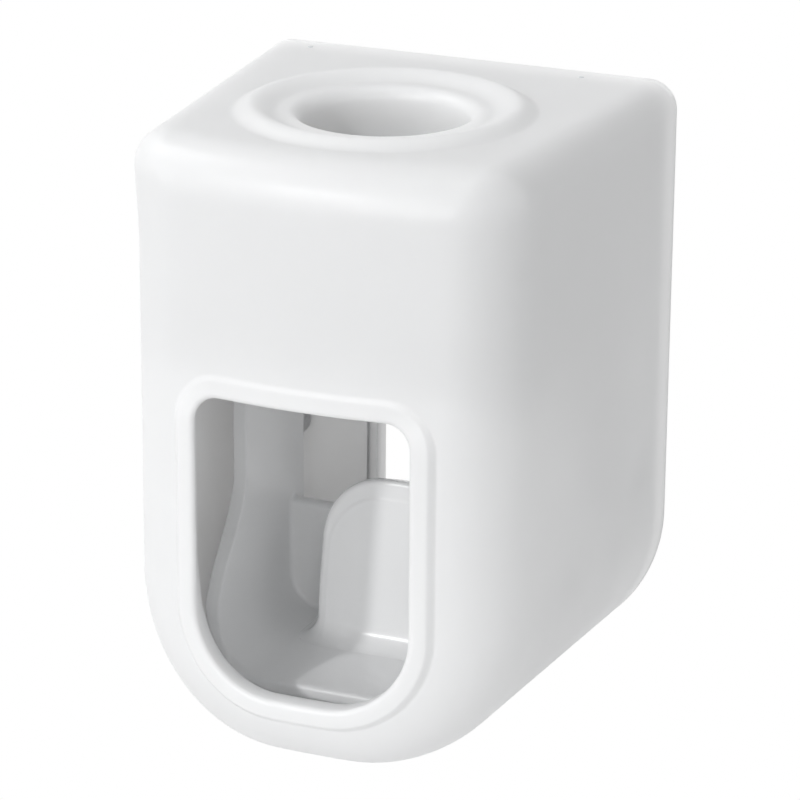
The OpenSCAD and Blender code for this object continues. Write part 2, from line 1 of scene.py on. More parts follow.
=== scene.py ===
# Looks of a wall-mounted toothpaste dispenser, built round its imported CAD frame.
# Sizes are millimetres in the drawing's axes: x to the right, y back from the casing's front crest
# and z up from its lowest point. placed() turns them into the frame's metres.

import math

import bpy
import numpy as np
from mathutils import Matrix


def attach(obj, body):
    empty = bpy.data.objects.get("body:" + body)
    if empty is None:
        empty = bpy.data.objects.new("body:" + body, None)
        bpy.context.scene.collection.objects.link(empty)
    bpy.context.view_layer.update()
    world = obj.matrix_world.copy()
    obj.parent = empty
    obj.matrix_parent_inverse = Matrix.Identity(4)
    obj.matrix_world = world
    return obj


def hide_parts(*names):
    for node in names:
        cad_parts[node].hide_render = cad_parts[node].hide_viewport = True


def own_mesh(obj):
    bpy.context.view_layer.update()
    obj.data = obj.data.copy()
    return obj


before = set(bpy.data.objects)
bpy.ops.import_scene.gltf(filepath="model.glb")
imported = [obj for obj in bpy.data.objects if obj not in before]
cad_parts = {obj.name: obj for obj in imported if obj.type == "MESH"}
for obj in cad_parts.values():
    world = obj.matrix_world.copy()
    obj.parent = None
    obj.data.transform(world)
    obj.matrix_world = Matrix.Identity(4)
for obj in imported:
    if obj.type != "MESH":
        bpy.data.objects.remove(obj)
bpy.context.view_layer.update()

# Sizes, as in part.scad, apart from the rim, the ring and the scoop's lower corners, which are finer here

MM = 0.001
BODY_W, BODY_D, BODY_H, WALL = 62.0, 58.2, 85.7, 2.2
SIDE_DRAFT, TOP_DRAFT, CROWN = 3.1, 0.5, 5.2
LOW_R, TOP_BACK_R, TOP_FRONT_R = 22.8, 4.0, 6.4
EDGE_R, TOP_EDGE_R = 8.8, 6.4

WINDOW_W, WINDOW_LOW, WINDOW_HIGH = 31.0, 10.4, 51.6
WINDOW_TOP_R, WINDOW_LOW_R = 3.6, 11.6
# How much the window widens behind its face, and the heights between which this sets in
FLARE, FLARE_LOW, FLARE_HIGH = 0.9, 17.0, 29.0
# Rounding of the rim's inner edge, its height, and how far out its crest and its foot end
LIP_R, RIM_H, RIM_TOP, RIM_FOOT = 0.8, 1.0, 2.35, 3.4
# How much the crest falls towards its outer step, and the rim's share of height along the window's top
CREST_FALL, TOP_SHARE = 0.05, 0.3

HOLE_R, HOLE_Y, HOLE_LIP = 11.35, 28.2, 1.8
# Radius of the ring's crest, widths of its inner and outer slope, and its height
RING_R, RING_IN, RING_OUT, RING_H = 17.9, 3.7, 2.9, 1.2
SOCKET_L, SOCKET_WALL = 7.0, 1.8

SLIDE_GAP, FIT_GAP, BACK_GAP = 0.3, 0.15, 0.56
FOAM_T, PLATE_T, COVER_T = 1.0, 1.2, 2.0
WALL_Y = BODY_D + BACK_GAP
FOAM_Y = WALL_Y - FOAM_T
PLATE_Y = FOAM_Y - PLATE_T
COVER_BACK = PLATE_Y - SLIDE_GAP
COVER_Y = COVER_BACK - COVER_T
PLATE_W, PLATE_H, PLATE_DROP = 44.0, 28.0, 4.5
PLATE_Z = BODY_H - WALL - PLATE_DROP - PLATE_H / 2
OPENING_W, OPENING_LOW, OPENING_HIGH, OPENING_R = 24.4, 12.0, 50.0, 2.0
COLLAR_WALL, COLLAR_D = 1.6, 3.4
LIFT, STUD_R, STUD_INSET = 8.0, 2.2, 8.0
STUD_X = PLATE_W / 2 - STUD_INSET
STUD_HEAD_R, STUD_HEAD_T = STUD_R + 1.8, 1.4

TOP_AT_HOLE = BODY_H - TOP_DRAFT * (1 - HOLE_Y / BODY_D)
PUMP_DROP, STROKE = 26.24, 7.0
PUMP_Z = TOP_AT_HOLE - PUMP_DROP
CYLINDER_OUT, NOZZLE_OUT, SPOUT_L, SEAT_T, DECK_T = 7.2, 4.95, 3.0, 1.5, 1.8
WIRE_D, SPRING_TURNS, SPRING_GAP = 0.9, 5.0, 0.9
SPRING_R = CYLINDER_OUT + SPRING_GAP + WIRE_D / 2
SPRING_SEAT = HOLE_Y - NOZZLE_OUT - SLIDE_GAP - SEAT_T
SPOUT_LOW = PUMP_Z - CYLINDER_OUT - SPOUT_L
DECK_TOP = PUMP_Z + SPRING_R + WIRE_D / 2 + SLIDE_GAP + 0.1 + DECK_T
YOKE_Y, YOKE_T = 4.80, 2.8

SCOOP_W, SCOOP_T, FLOOR_Z = 40.0, 2.2, 6.0
PADDLE_BACK, SHOULDER_Z = 17.2, 22.4
PADDLE_Y = BODY_D - PADDLE_BACK
ARM_BACK, ARM_LOW, ARM_TOP = PADDLE_Y + 4.9, PUMP_Z - 8.6, PUMP_Z + 4.8
LIP_Y, LIP_RISE, EDGE_LOW_Y, EDGE_HIGH_Y = 15.0, 0.3, 17.0, 26.6
BEND_LOW, BEND_HIGH, RISE_HIGH = FLOOR_Z + 6.9, FLOOR_Z + 25, WINDOW_HIGH - 8.6
# Radii of the scoop's lower corners at its lip, inside and outside, and their loss per millimetre back
CHANNEL_R, CHANNEL_LOSS, HULL_R, HULL_LOSS = 6.8, 0.05, 11.5, 0.073
PAD_W, PAD_H, PAD_R, PAD_T = 25.4, 24.7, 9.6, 7.2
# How far a shape reaches into the wall that carries it
BITE = 0.4

# Meshes from arrays


def placed(points):
    """Points of the drawing, in the frame's metres."""
    return (np.asarray(points, float) - [0, WALL_Y, PLATE_Z]) * MM


def linked(name, data):
    """A new object of the scene."""
    made = bpy.data.objects.new(name, data)
    bpy.context.scene.collection.objects.link(made)
    return made


def mesh_object(name, points, faces, normals=None):
    """A smooth mesh of quads or triangles from points in millimetres."""
    points, faces = placed(points), np.asarray(faces, np.int32)
    used = np.unique(faces)
    again = np.full(len(points), -1, np.int32)
    again[used] = np.arange(len(used))
    points, faces = points[used], again[faces]
    corners = faces.shape[1]
    mesh = bpy.data.meshes.new(name)
    mesh.vertices.add(len(points))
    mesh.vertices.foreach_set("co", points.astype(np.float32).ravel())
    mesh.loops.add(faces.size)
    mesh.loops.foreach_set("vertex_index", faces.ravel())
    mesh.polygons.add(len(faces))
    mesh.polygons.foreach_set("loop_start", np.arange(0, faces.size, corners, dtype=np.int32))
    mesh.update(calc_edges=True)
    mesh.validate()
    mesh.polygons.foreach_set("use_smooth", np.ones(len(mesh.polygons), bool))
    if normals is not None and len(mesh.vertices) == len(used):
        mesh.normals_split_custom_set_from_vertices(np.asarray(normals, np.float32)[used])
    return linked(name, mesh)


def grid_faces(rows, columns, start=0, closed_rows=False, closed_columns=True):
    """Quads over rings of points, row after row."""
    k = np.arange(rows if closed_rows else rows - 1)[:, None]
    i = np.arange(columns if closed_columns else columns - 1)[None, :]
    k2, i2 = (k + 1) % rows, (i + 1) % columns
    corners = [k * columns + i, k * columns + i2, k2 * columns + i2, k2 * columns + i]
    return start + np.stack(np.broadcast_arrays(*corners), -1).reshape(-1, 4)


def joined(name, parts):
    """One object of several, whose first takes in the others."""
    first = parts[0]
    with bpy.context.temp_override(active_object=first, object=first, selected_editable_objects=parts):
        bpy.ops.object.join()
    first.name = first.data.name = name
    return first


def smooth_edges(made, degrees=40):
    """Smooth shading that keeps edges sharper than the angle, and keeps flat faces flat."""
    mesh = made.data
    mesh.polygons.foreach_set("use_smooth", np.ones(len(mesh.polygons), bool))
    mesh.set_sharp_from_angle(angle=math.radians(degrees))
    weighted = made.modifiers.new("flat faces", "WEIGHTED_NORMAL")
    weighted.keep_sharp = True
    return made


# Forms given by a distance, which is negative inside them

CELL_CORNERS = [(a, b, c) for a in (0, 1) for b in (0, 1) for c in (0, 1)]


def crossing_middles(value, at):
    """For each cell, the middle of the points where the surface crosses the cell's edges."""
    total, hits = np.zeros((len(at), 3)), np.zeros(len(at))
    for corner in CELL_CORNERS:
        for axis in range(3):
            if corner[axis]:
                continue
            p = np.array(corner)
            q = p.copy()
            q[axis] = 1
            a, b = value[tuple((at + p).T)], value[tuple((at + q).T)]
            crossed = (a < 0) != (b < 0)
            share = np.where(crossed, a / np.where(crossed, a - b, 1), 0)
            total += (at + p + share[:, None] * (q - p)) * crossed[:, None]
            hits += crossed
    return total / hits[:, None]


def net_faces(inside, number):
    """A quad of the four cells round each grid edge that the surface crosses."""
    cells, faces = number.shape, []
    for axis in range(3):
        u, v = (axis + 1) % 3, (axis + 2) % 3
        near, far = [slice(None)] * 3, [slice(None)] * 3
        near[axis], far[axis] = slice(0, -1), slice(1, None)
        starts, ends = inside[tuple(near)], inside[tuple(far)]
        spots = np.argwhere(starts != ends)
        spots = spots[(spots[:, u] > 0) & (spots[:, v] > 0)]
        spots = spots[(spots[:, u] < cells[u]) & (spots[:, v] < cells[v])]
        quad = []
        for du, dv in ((-1, -1), (0, -1), (0, 0), (-1, 0)):
            cell = spots.copy()
            cell[:, u] += du
            cell[:, v] += dv
            quad.append(number[tuple(cell.T)])
        quad = np.stack(quad, 1)
        flipped = ~starts[tuple(spots.T)]
        quad[flipped] = quad[flipped][:, ::-1]
        faces.append(quad)
    return np.concatenate(faces)


def slope_of(distance, points, reach=0.04):
    """How a distance changes along each axis at the points, and the length of that."""
    slopes = []
    for axis in range(3):
        d = np.zeros(3)
        d[axis] = reach
        slopes.append(distance(*(points + d).T) - distance(*(points - d).T))
    slopes = np.stack(slopes, 1) / (2 * reach)
    return slopes, np.linalg.norm(slopes, axis=1)


def surface_net(distance, low, high, step):
    """Points, quads and normals of the surface where distance is 0, found on a grid from low to high."""
    axes = [np.arange(a, b + step, step) for a, b in zip(low, high)]
    value = distance(*np.meshgrid(*axes, indexing="ij", sparse=True)).astype(np.float32)
    value = np.where(value == 0, 1e-6, value)
    inside = value < 0
    cells = np.array(inside.shape) - 1
    part = lambda o: inside[o[0]:o[0] + cells[0], o[1]:o[1] + cells[1], o[2]:o[2] + cells[2]]
    count = sum(part(corner).astype(np.int8) for corner in CELL_CORNERS)
    at = np.argwhere((count > 0) & (count < len(CELL_CORNERS)))
    number = np.full(cells, -1, np.int64)
    number[tuple(at.T)] = np.arange(len(at))
    points = np.array(low) + crossing_middles(value, at) * step
    # Three short moves along the slope bring each point onto the surface
    for _ in range(3):
        slope, size = slope_of(distance, points)
        move = (distance(*points.T) / np.maximum(size, 0.3) ** 2)[:, None] * slope
        length = np.linalg.norm(move, axis=1)[:, None]
        points -= move * np.minimum(1, 0.4 * step / np.maximum(length, 1e-9))
    slope, size = slope_of(distance, points)
    return points, net_faces(inside, number), slope / np.maximum(size, 1e-9)[:, None]


def both(a, b, r):
    """What lies in both, with its edge rounded to radius r."""
    return np.minimum(-r, np.maximum(a, b)) + np.hypot(np.maximum(a + r, 0), np.maximum(b + r, 0))


def either(a, b, r):
    """What lies in either, with the corner between them filled to radius r."""
    return -both(-a, -b, r)


def box_distance(x, y, z, low, high, r=0.3):
    """Distance to a box with rounded edges."""
    d = [np.maximum(a - p, p - b) + r for p, a, b in zip((x, y, z), low, high)]
    inner = np.minimum(np.maximum(np.maximum(d[0], d[1]), d[2]), 0)
    return inner + np.sqrt(sum(np.maximum(q, 0) ** 2 for q in d)) - r


def outline_distance(x, z, hx, top, low, r_top, r_low):
    """Distance to an upright outline with its own corner radii at the top and the bottom."""
    upper = z > (top + low) / 2
    r = np.where(upper, r_top, r_low)
    dx = np.abs(x) - hx + r
    dz = np.where(upper, z - top, low - z) + r
    return np.minimum(np.maximum(dx, dz), 0) + np.hypot(np.maximum(dx, 0), np.maximum(dz, 0)) - r


def smooth_step(u):
    u = np.clip(u, 0, 1)
    return u * u * (3 - 2 * u)


# Casing

# Points along each stretch of a ring round the casing or the window
TOP_COLS, SHORT, CORNER, SIDE, LOW_ARC, BASE = 60, 3, 12, 40, 34, 16
# Angle of the front edge's rounding at which the front face's rings hand over to its own
FIRST_ANGLE = math.radians(28)
FACE_STEPS, FILLET_STEPS, DEPTH_STEPS = 30, 22, 30
# Rounding of the wall's inner edges and of its outer back edge
INNER_LIP, BACK_R = 0.35, 0.45
FILLET = np.linspace(FIRST_ANGLE, math.pi / 2, FILLET_STEPS + 1)
DEPTHS = np.arange(1, DEPTH_STEPS + 1) / DEPTH_STEPS * (1 - BACK_R / (BODY_D - EDGE_R))


def front_share(y):
    return np.maximum(0, 1 - y / BODY_D)


def half_w(y):
    return BODY_W / 2 - SIDE_DRAFT * front_share(y)


def top_z(y):
    return BODY_H - TOP_DRAFT * front_share(y)


def crown_at(x):
    return CROWN * (2 * x / BODY_W) ** 2


def quarter(n):
    """Angles from 0 to a right angle in n steps."""
    return np.radians(90 * np.arange(n + 1) / n)


def edge_radius(z, t):
    """Radius of the front edge, which is smaller along the top."""
    change = TOP_EDGE_R + 4
    start = top_z(0) - 0.6 * TOP_EDGE_R - change
    return EDGE_R - t + (TOP_EDGE_R - EDGE_R) * np.clip((z - start) / change, 0, 1)


def outline_sizes(s, y, t):
    """Half width, top, bottom and corner radii at depth y. s is 1 where the front edge starts to round."""
    side, top, share = EDGE_R - t, TOP_EDGE_R - t, front_share(y)
    hx = half_w(y) - t - side * s
    r_top = TOP_BACK_R + (TOP_FRONT_R - TOP_BACK_R) * share - t - (side + top) / 2 * s
    r_low = np.minimum(hx, LOW_R - t - side * s)
    return hx, top_z(y) - t - top * s, t + side * s, np.maximum(0.4, r_top), r_low


def rounded(hx, top, low, r_top, r_low, flat=24.0):
    """An upright outline as points (x, z), clockwise from the left end of its top."""
    flat = min(flat, hx - r_top - 0.2)

    def run(a, b, n):
        return a + (b - a) * np.arange(n) / n

    def bow(cx, cz, r, a, b, n):
        angle = np.radians(run(a, b, n))
        return np.stack([cx + r * np.cos(angle), cz + r * np.sin(angle)], 1)

    def line(x0, z0, x1, z1, n):
        return np.stack([run(x0, x1, n), run(z0, z1, n)], 1)

    xt, xl, zt, zl = hx - r_top, hx - r_low, top - r_top, low + r_low
    return np.concatenate([
        line(-flat, top, flat, top, TOP_COLS),
        line(flat, top, xt, top, SHORT),
        bow(xt, zt, r_top, 90, 0, CORNER),
        line(hx, zt, hx, zl, SIDE),
        bow(xl, zl, r_low, 0, -90, LOW_ARC),
        line(xl, low, -xl, low, BASE),
        bow(-xl, zl, r_low, -90, -180, LOW_ARC),
        line(-hx, zl, -hx, zt, SIDE),
        bow(-xt, zt, r_top, 180, 90, CORNER),
        line(-xt, top, -flat, top, SHORT)])


def window_outline(d):
    """The window's outline, moved outwards by d."""
    hx, r_top = WINDOW_W / 2 + d, WINDOW_TOP_R + d
    return rounded(hx, WINDOW_HIGH + d, WINDOW_LOW - d, r_top, WINDOW_LOW_R + d, 0.9 * (hx - r_top))


def jamb_outline(share, lip=0.0):
    """The window behind its face, widened in its upper part: share is 1 at the inner wall."""
    near, far = window_outline(lip), window_outline(lip + FLARE)
    widened = smooth_step((near[:, 1:] - FLARE_LOW) / (FLARE_HIGH - FLARE_LOW))
    return near + (far - near) * (share * widened)


def edge_ring(angle, t):
    """A ring on the rounded front edge: angle runs from 0 at the front to a right angle at the sides."""
    flat = rounded(*outline_sizes(1 - math.sin(angle), (EDGE_R - t) * (1 - math.cos(angle)), t))
    x, z = flat.T
    return np.stack([x, t + edge_radius(z, t) * (1 - math.cos(angle)) + crown_at(x), z], 1)


def side_ring(share, t, inset=0.0, depth=None):
    """A ring on the sides, from the end of the front edge at share 0 to the back edge at share 1."""
    y = EDGE_R - t + (BODY_D - EDGE_R + t) * share
    flat = rounded(*outline_sizes(0, y, t + inset))
    x, z = flat.T
    y0 = t + edge_radius(z, t) + crown_at(x)
    back = y0 + (BODY_D - y0) * share if depth is None else np.full_like(x, depth)
    return np.stack([x, back, z], 1)


def front_depth(x, z, t):
    """Depth of the front face, with the start of its rounded edge, whose angle is found by halving."""
    near, far = np.zeros_like(x), np.full_like(x, math.pi / 2)
    for _ in range(32):
        angle = (near + far) / 2
        sizes = outline_sizes(1 - np.sin(angle), (EDGE_R - t) * (1 - np.cos(angle)), t)
        out = outline_distance(x, z, *sizes) > 0
        near, far = np.where(out, angle, near), np.where(out, far, angle)
    return t + edge_radius(z, t) * (1 - np.cos(far)) + crown_at(x)


def top_height(x, y, t):
    """Height of the top, with its rounded front edge."""
    angle = np.linspace(0, math.pi / 2, 200)
    depth = (EDGE_R - t) * (1 - np.cos(angle))
    height = top_z(depth) - t - (TOP_EDGE_R - t) * (1 - np.sin(angle))
    reach = t + edge_radius(height, t) * (1 - np.cos(angle))
    q = y - crown_at(x)
    share = (q - reach[-1]) / (BODY_D - crown_at(x) - reach[-1])
    straight = top_z(EDGE_R - t + (BODY_D - EDGE_R + t) * np.clip(share, 0, 1)) - t
    return np.where(q < reach[-1], np.interp(q, reach, height), straight)


def ring_height(rho):
    """Height of the raised ring round the tube hole."""
    return RING_H * np.where(rho < RING_R, smooth_step((rho - RING_R + RING_IN) / RING_IN),
                             smooth_step((RING_R + RING_OUT - rho) / RING_OUT))


def rim_share(z):
    """The rim is lower along the window's top."""
    return TOP_SHARE + (1 - TOP_SHARE) * smooth_step((WINDOW_HIGH + 1.5 - z) / 5)


def rim_ring(d, height):
    """A ring on the rim, d outside the window's edge."""
    x, z = window_outline(d).T
    return np.stack([x, front_depth(x, z, 0) - height * rim_share(z), z], 1)


def window_rings():
    """Rings from the inside of the window's edge forwards and over the rim to its foot."""
    rings = []
    for u in (0, 0.33, 0.67):
        x, z = jamb_outline(1 - u).T
        front = front_depth(x, z, 0) - RIM_H * rim_share(z) + LIP_R
        behind = front_depth(x, z, WALL) - INNER_LIP
        rings.append(np.stack([x, behind + (front - behind) * u, z], 1))
    for b in quarter(7):
        ring = rim_ring(LIP_R * (1 - math.cos(b)), RIM_H)
        rings.append(ring + [0, LIP_R * (1 - math.sin(b)), 0])
    for d in np.linspace(LIP_R, RIM_TOP, 6)[1:]:
        rings.append(rim_ring(d, RIM_H - CREST_FALL * ((d - LIP_R) / (RIM_TOP - LIP_R)) ** 2))
    for u in np.arange(1, 11) / 10:
        height = (RIM_H - CREST_FALL) * (1 - smooth_step(u))
        rings.append(rim_ring(RIM_TOP + (RIM_FOOT - RIM_TOP) * u, height))
    return rings


def face_rings():
    """Rings over the front face from the rim's foot, closer together towards the rounded edge."""
    start, end = window_outline(RIM_FOOT + 0.15), edge_ring(FIRST_ANGLE, 0)
    rings = []
    for n in range(FACE_STEPS):
        w = 1 - (1 - n / FACE_STEPS) ** 1.7
        x, z = ((1 - w) * start + w * end[:, [0, 2]]).T
        rings.append(np.stack([x, front_depth(x, z, 0), z], 1))
    return rings


def outer_rings():
    """Rings over the rounded front edge and along the sides to the back, and round the wall's back edge."""
    return ([edge_ring(a, 0) for a in FILLET] + [side_ring(share, 0) for share in DEPTHS]
            + [side_ring(1, 0, BACK_R * (1 - math.cos(b)), BODY_D - BACK_R * (1 - math.sin(b)))
               for b in quarter(4)]
            + [side_ring(1, WALL, -INNER_LIP * math.cos(b), BODY_D - INNER_LIP * (1 - math.cos(b)))
               for b in quarter(3)])


def inner_rings():
    """Rings on the wall's inner side, from the back edge forwards and in to the window's edge."""
    shares = DEPTHS * (1 - 1.5 * INNER_LIP / BODY_D)
    rings = [side_ring(share, WALL) for share in shares[::-1]] + [edge_ring(a, WALL) for a in FILLET[::-1]]
    start, end = edge_ring(FIRST_ANGLE, WALL), jamb_outline(1, INNER_LIP)
    for w in np.arange(1, 13) / 12:
        x, z = ((1 - w) * start[:, [0, 2]] + w * end).T
        rings.append(np.stack([x, front_depth(x, z, WALL), z], 1))
    for b in quarter(3)[1:3]:
        x, z = jamb_outline(1, INNER_LIP * (1 - math.sin(b))).T
        rings.append(np.stack([x, front_depth(x, z, WALL) - INNER_LIP * (1 - math.cos(b)), z], 1))
    return rings


def hole_rings(edge_out, edge_in):
    """Rings between two openings in the top: over the raised ring, down the tube hole and up its socket."""
    angle_out, angle_in = [np.arctan2(edge[:, 1] - HOLE_Y, edge[:, 0]) for edge in (edge_out, edge_in)]
    turn = (angle_in - angle_out + math.pi) % (2 * math.pi) - math.pi

    def circle(rho, share, height):
        """A round ring, turned by this share of the way from the outer opening's points to the inner one's."""
        angle = angle_out + turn * share
        x, y = rho * np.cos(angle), HOLE_Y + rho * np.sin(angle)
        return np.stack([x, y, height(x, y)], 1)

    def level(z):
        return lambda x, y: np.full_like(x, z)

    def skin(t, drop=0.0):
        """The top's height, on its outer side where t is 0 and t further in otherwise, lowered by a drop."""
        return lambda x, y: top_height(x, y, t) - drop

    def raised(x, y):
        return top_height(x, y, 0) + ring_height(np.hypot(x, y - HOLE_Y))

    def spread(edge, rho, share, height, steps):
        """Rings between an opening's edge and a circle."""
        out, inner = [], circle(rho, share, level(0))
        for w in steps:
            x, y = ((1 - w) * edge + w * inner).T[:2]
            out.append(np.stack([x, y, height(x, y)], 1))
        return out

    outer_r, socket_r, root_r, end_r = RING_R + RING_OUT + 0.2, HOLE_R + SOCKET_WALL, 1.0, 0.4
    low, high, under = TOP_AT_HOLE - SOCKET_L, TOP_AT_HOLE - HOLE_LIP, TOP_AT_HOLE - WALL - root_r
    hole = spread(edge_out, outer_r, 0, raised, (0.17, 0.34, 0.5, 0.67, 0.84))
    hole += [circle(rho, 0, raised) for rho in np.linspace(outer_r, HOLE_R + HOLE_LIP, 34)]
    hole += [circle(HOLE_R + HOLE_LIP * (1 - math.sin(b)), 0, skin(0, HOLE_LIP * (1 - math.cos(b))))
             for b in quarter(9)[1:]]
    hole += [circle(HOLE_R, 0.25 * u, level(high + (low + end_r - high) * u)) for u in (0.25, 0.5, 0.75, 1)]
    hole += [circle(HOLE_R + end_r * (1 - math.cos(b)), 0.3, level(low + end_r * (1 - math.sin(b))))
             for b in quarter(3)[1:]]
    hole += [circle(socket_r - end_r * (1 - math.sin(b)), 0.7, level(low + end_r * (1 - math.cos(b))))
             for b in quarter(3)]
    hole += [circle(socket_r, 0.7 + 0.3 * u, level(low + end_r + (under - low - end_r) * u)) for u in (0.5, 1)]
    hole += [circle(socket_r + root_r * (1 - math.cos(b)), 1, skin(WALL, root_r * (1 - math.sin(b))))
             for b in quarter(4)[1:]]
    return hole + spread(edge_in, socket_r + root_r, 1, skin(WALL), (0.75, 0.5, 0.25))


def casing_mesh():
    """The casing as rings round its window, with rings round the tube hole let into its top."""
    rings = window_rings() + face_rings()
    first_outer = len(rings)
    rings += outer_rings()
    first_inner = len(rings)
    rings += inner_rings()
    rows, columns = len(rings), len(rings[0])
    points = np.concatenate(rings)
    faces = grid_faces(rows, columns, closed_rows=True).reshape(rows, columns, 4)

    # The top is open between these rows, where the rings round the tube hole take over
    near_row, far_row = 10, FILLET_STEPS + 1 + 26
    span = FILLET_STEPS + DEPTH_STEPS
    rows_out = (first_outer + near_row, first_outer + far_row)
    rows_in = (first_inner + span - far_row, first_inner + span - near_row)
    keep = np.ones((rows, columns), bool)
    for a, b in (rows_out, rows_in):
        keep[a:b, :TOP_COLS] = False

    def loop(front_row, back_row):
        """Numbers of the points round an opening."""
        step = 1 if back_row > front_row else -1
        across, along = np.arange(TOP_COLS), np.arange(front_row, back_row, step)
        return np.concatenate([
            front_row * columns + across,
            along * columns + TOP_COLS,
            back_row * columns + TOP_COLS - across,
            np.arange(back_row, front_row, -step) * columns])

    loop_out, loop_in = loop(*rows_out), loop(rows_in[1], rows_in[0])
    hole = hole_rings(points[loop_out], points[loop_in])
    around, start = len(loop_out), len(points)
    first, last = start + np.arange(around), start + (len(hole) - 1) * around + np.arange(around)
    after = lambda numbers: np.roll(numbers, -1)
    return np.concatenate([points] + hole), np.concatenate([
        faces[keep], grid_faces(len(hole), around, start),
        np.stack([loop_out, after(loop_out), after(first), first], 1),
        np.stack([last, after(last), after(loop_in), loop_in], 1)])


# Scoop and pad


def scoop_side():
    """Side view of the scoop as points (y, z): floor lip, S-curved front edge, arms."""
    front = YOKE_Y + YOKE_T
    a = np.radians(np.linspace(0, 90, 19))
    lip = np.stack([LIP_Y + (EDGE_LOW_Y - LIP_Y) * np.sin(a),
                    BEND_LOW - (BEND_LOW - FLOOR_Z - LIP_RISE) * np.cos(a)], 1)
    u = np.linspace(0, 1, 31)[1:]
    bend = np.stack([EDGE_LOW_Y + (EDGE_HIGH_Y - EDGE_LOW_Y) * smooth_step(u),
                     BEND_LOW + (BEND_HIGH - BEND_LOW) * u], 1)
    rise = np.stack([EDGE_HIGH_Y - (EDGE_HIGH_Y - front) * (1 - np.cos(a)),
                     RISE_HIGH + (ARM_LOW - RISE_HIGH) * np.sin(a)], 1)
    arms = [[front, ARM_TOP], [ARM_BACK, ARM_TOP]]
    return np.concatenate([[[ARM_BACK, 0], [LIP_Y, 0]], lip, bend, rise, arms])


def flat_distance(outline, low, high, step=0.15):
    """Distance to a closed outline, worked out once on a fine grid and read from there."""
    u, v = [np.arange(a, b + step, step) for a, b in zip(low, high)]
    px, py = np.meshgrid(u, v, indexing="ij")
    best, inside = np.full(px.shape, 1e9), np.zeros(px.shape, bool)
    for (ax, ay), (bx, by) in zip(outline, np.roll(outline, -1, 0)):
        ex, ey = bx - ax, by - ay
        w = np.clip(((px - ax) * ex + (py - ay) * ey) / max(ex * ex + ey * ey, 1e-12), 0, 1)
        best = np.minimum(best, (px - ax - w * ex) ** 2 + (py - ay - w * ey) ** 2)
        if ay != by:
            inside ^= ((ay > py) != (by > py)) & (px < ax + (py - ay) * ex / ey)
    table = np.sqrt(best) * np.where(inside, -1, 1)

    def read(a, b):
        a, b = np.broadcast_arrays(a, b)
        i = np.clip((a - low[0]) / step, 0, len(u) - 1.001)
        j = np.clip((b - low[1]) / step, 0, len(v) - 1.001)
        i0, j0 = i.astype(int), j.astype(int)
        fi, fj = i - i0, j - j0
        return ((1 - fi) * (1 - fj) * table[i0, j0] + fi * (1 - fj) * table[i0 + 1, j0]
                + (1 - fi) * fj * table[i0, j0 + 1] + fi * fj * table[i0 + 1, j0 + 1])

    return read


def trough_distance(x, z, half, low, r):
    """Distance to a trough that is open at the top."""
    dx, dz = np.abs(x) - half + r, low + r - z
    return np.minimum(np.maximum(dx, dz), 0) + np.hypot(np.maximum(dx, 0), np.maximum(dz, 0)) - r


def channel_distance(x, y, z):
    """Distance to the scoop's inner wall, whose lower corners are rounder towards its front."""
    return trough_distance(x, z, SCOOP_W / 2, FLOOR_Z, CHANNEL_R - CHANNEL_LOSS * (y - LIP_Y))


def hull_distance(x, y, z):
    """Distance to the scoop's outer wall, which clears the casing's round bottom."""
    return trough_distance(x, z, SCOOP_W / 2 + SCOOP_T, FLOOR_Z - SCOOP_T, HULL_R - HULL_LOSS * (y - LIP_Y))


def pad_outline_distance(x, z, side=0.0, top=0.0):
    """Distance to the pad's outline, taken in by so much at its sides and its top."""
    trim, taper = 0.9, 0.3
    hx = PAD_W / 2 - trim - side - taper * smooth_step((z - FLOOR_Z - 7) / 10)
    return outline_distance(x, z, hx, FLOOR_Z + PAD_H - top, FLOOR_Z - 30, PAD_R - side, 1.0)


def scoop_mesh():
    """Floor, sides and arms, with the paddle wall, the backing of the pad, runners and the yoke's bosses."""
    side = flat_distance(scoop_side(), (0, -2), (52, 70))
    half, paddle_middle, front = SCOOP_W / 2, PADDLE_Y + SCOOP_T / 2, YOKE_Y + YOKE_T
    runner_w, runner_h, runner_front, runner_back = 2.5, 1.6, 22, 44
    boss_w, boss_l, boss_h, boss_z = 4.0, 6.0, 5.4, PUMP_Z - 0.7
    # The backing stays so far inside the pad's outline, at its sides and its top
    backing_in, backing_drop = 1.2, 3.6

    def distance(x, y, z):
        outer, inner = hull_distance(x, y, z), channel_distance(x, y, z)
        # The front edges are rounder near the floor
        shell = both(both(outer, -inner, 0.2), side(y, z), 0.3 + 0.6 * smooth_step((9 - z) / 2.5))
        slab = np.abs(y - paddle_middle) - SCOOP_T / 2
        shoulder = both(both(outer + BITE, z - SHOULDER_Z, 0.3), slab, 1.0)
        backing = both(pad_outline_distance(x, z, backing_in, backing_drop), slab, 0.5)
        made = either(shell, np.minimum(shoulder, np.maximum(backing, outer + BITE)), 0.7)
        runner = box_distance(np.abs(x), y, z, (half - runner_w, runner_front, ARM_TOP - runner_h),
                              (half + BITE, runner_back, ARM_TOP))
        boss = box_distance(np.abs(x), y, z, (half - boss_w, front, boss_z - boss_h / 2),
                            (half + BITE, front + boss_l, boss_z + boss_h / 2))
        return np.minimum(made, np.minimum(runner, boss))

    out = half + SCOOP_T + 1
    low, high = (-out, front - 1, FLOOR_Z - SCOOP_T - 1), (out, ARM_BACK + 1, ARM_TOP + 1)
    return surface_net(distance, low, high, 0.38)


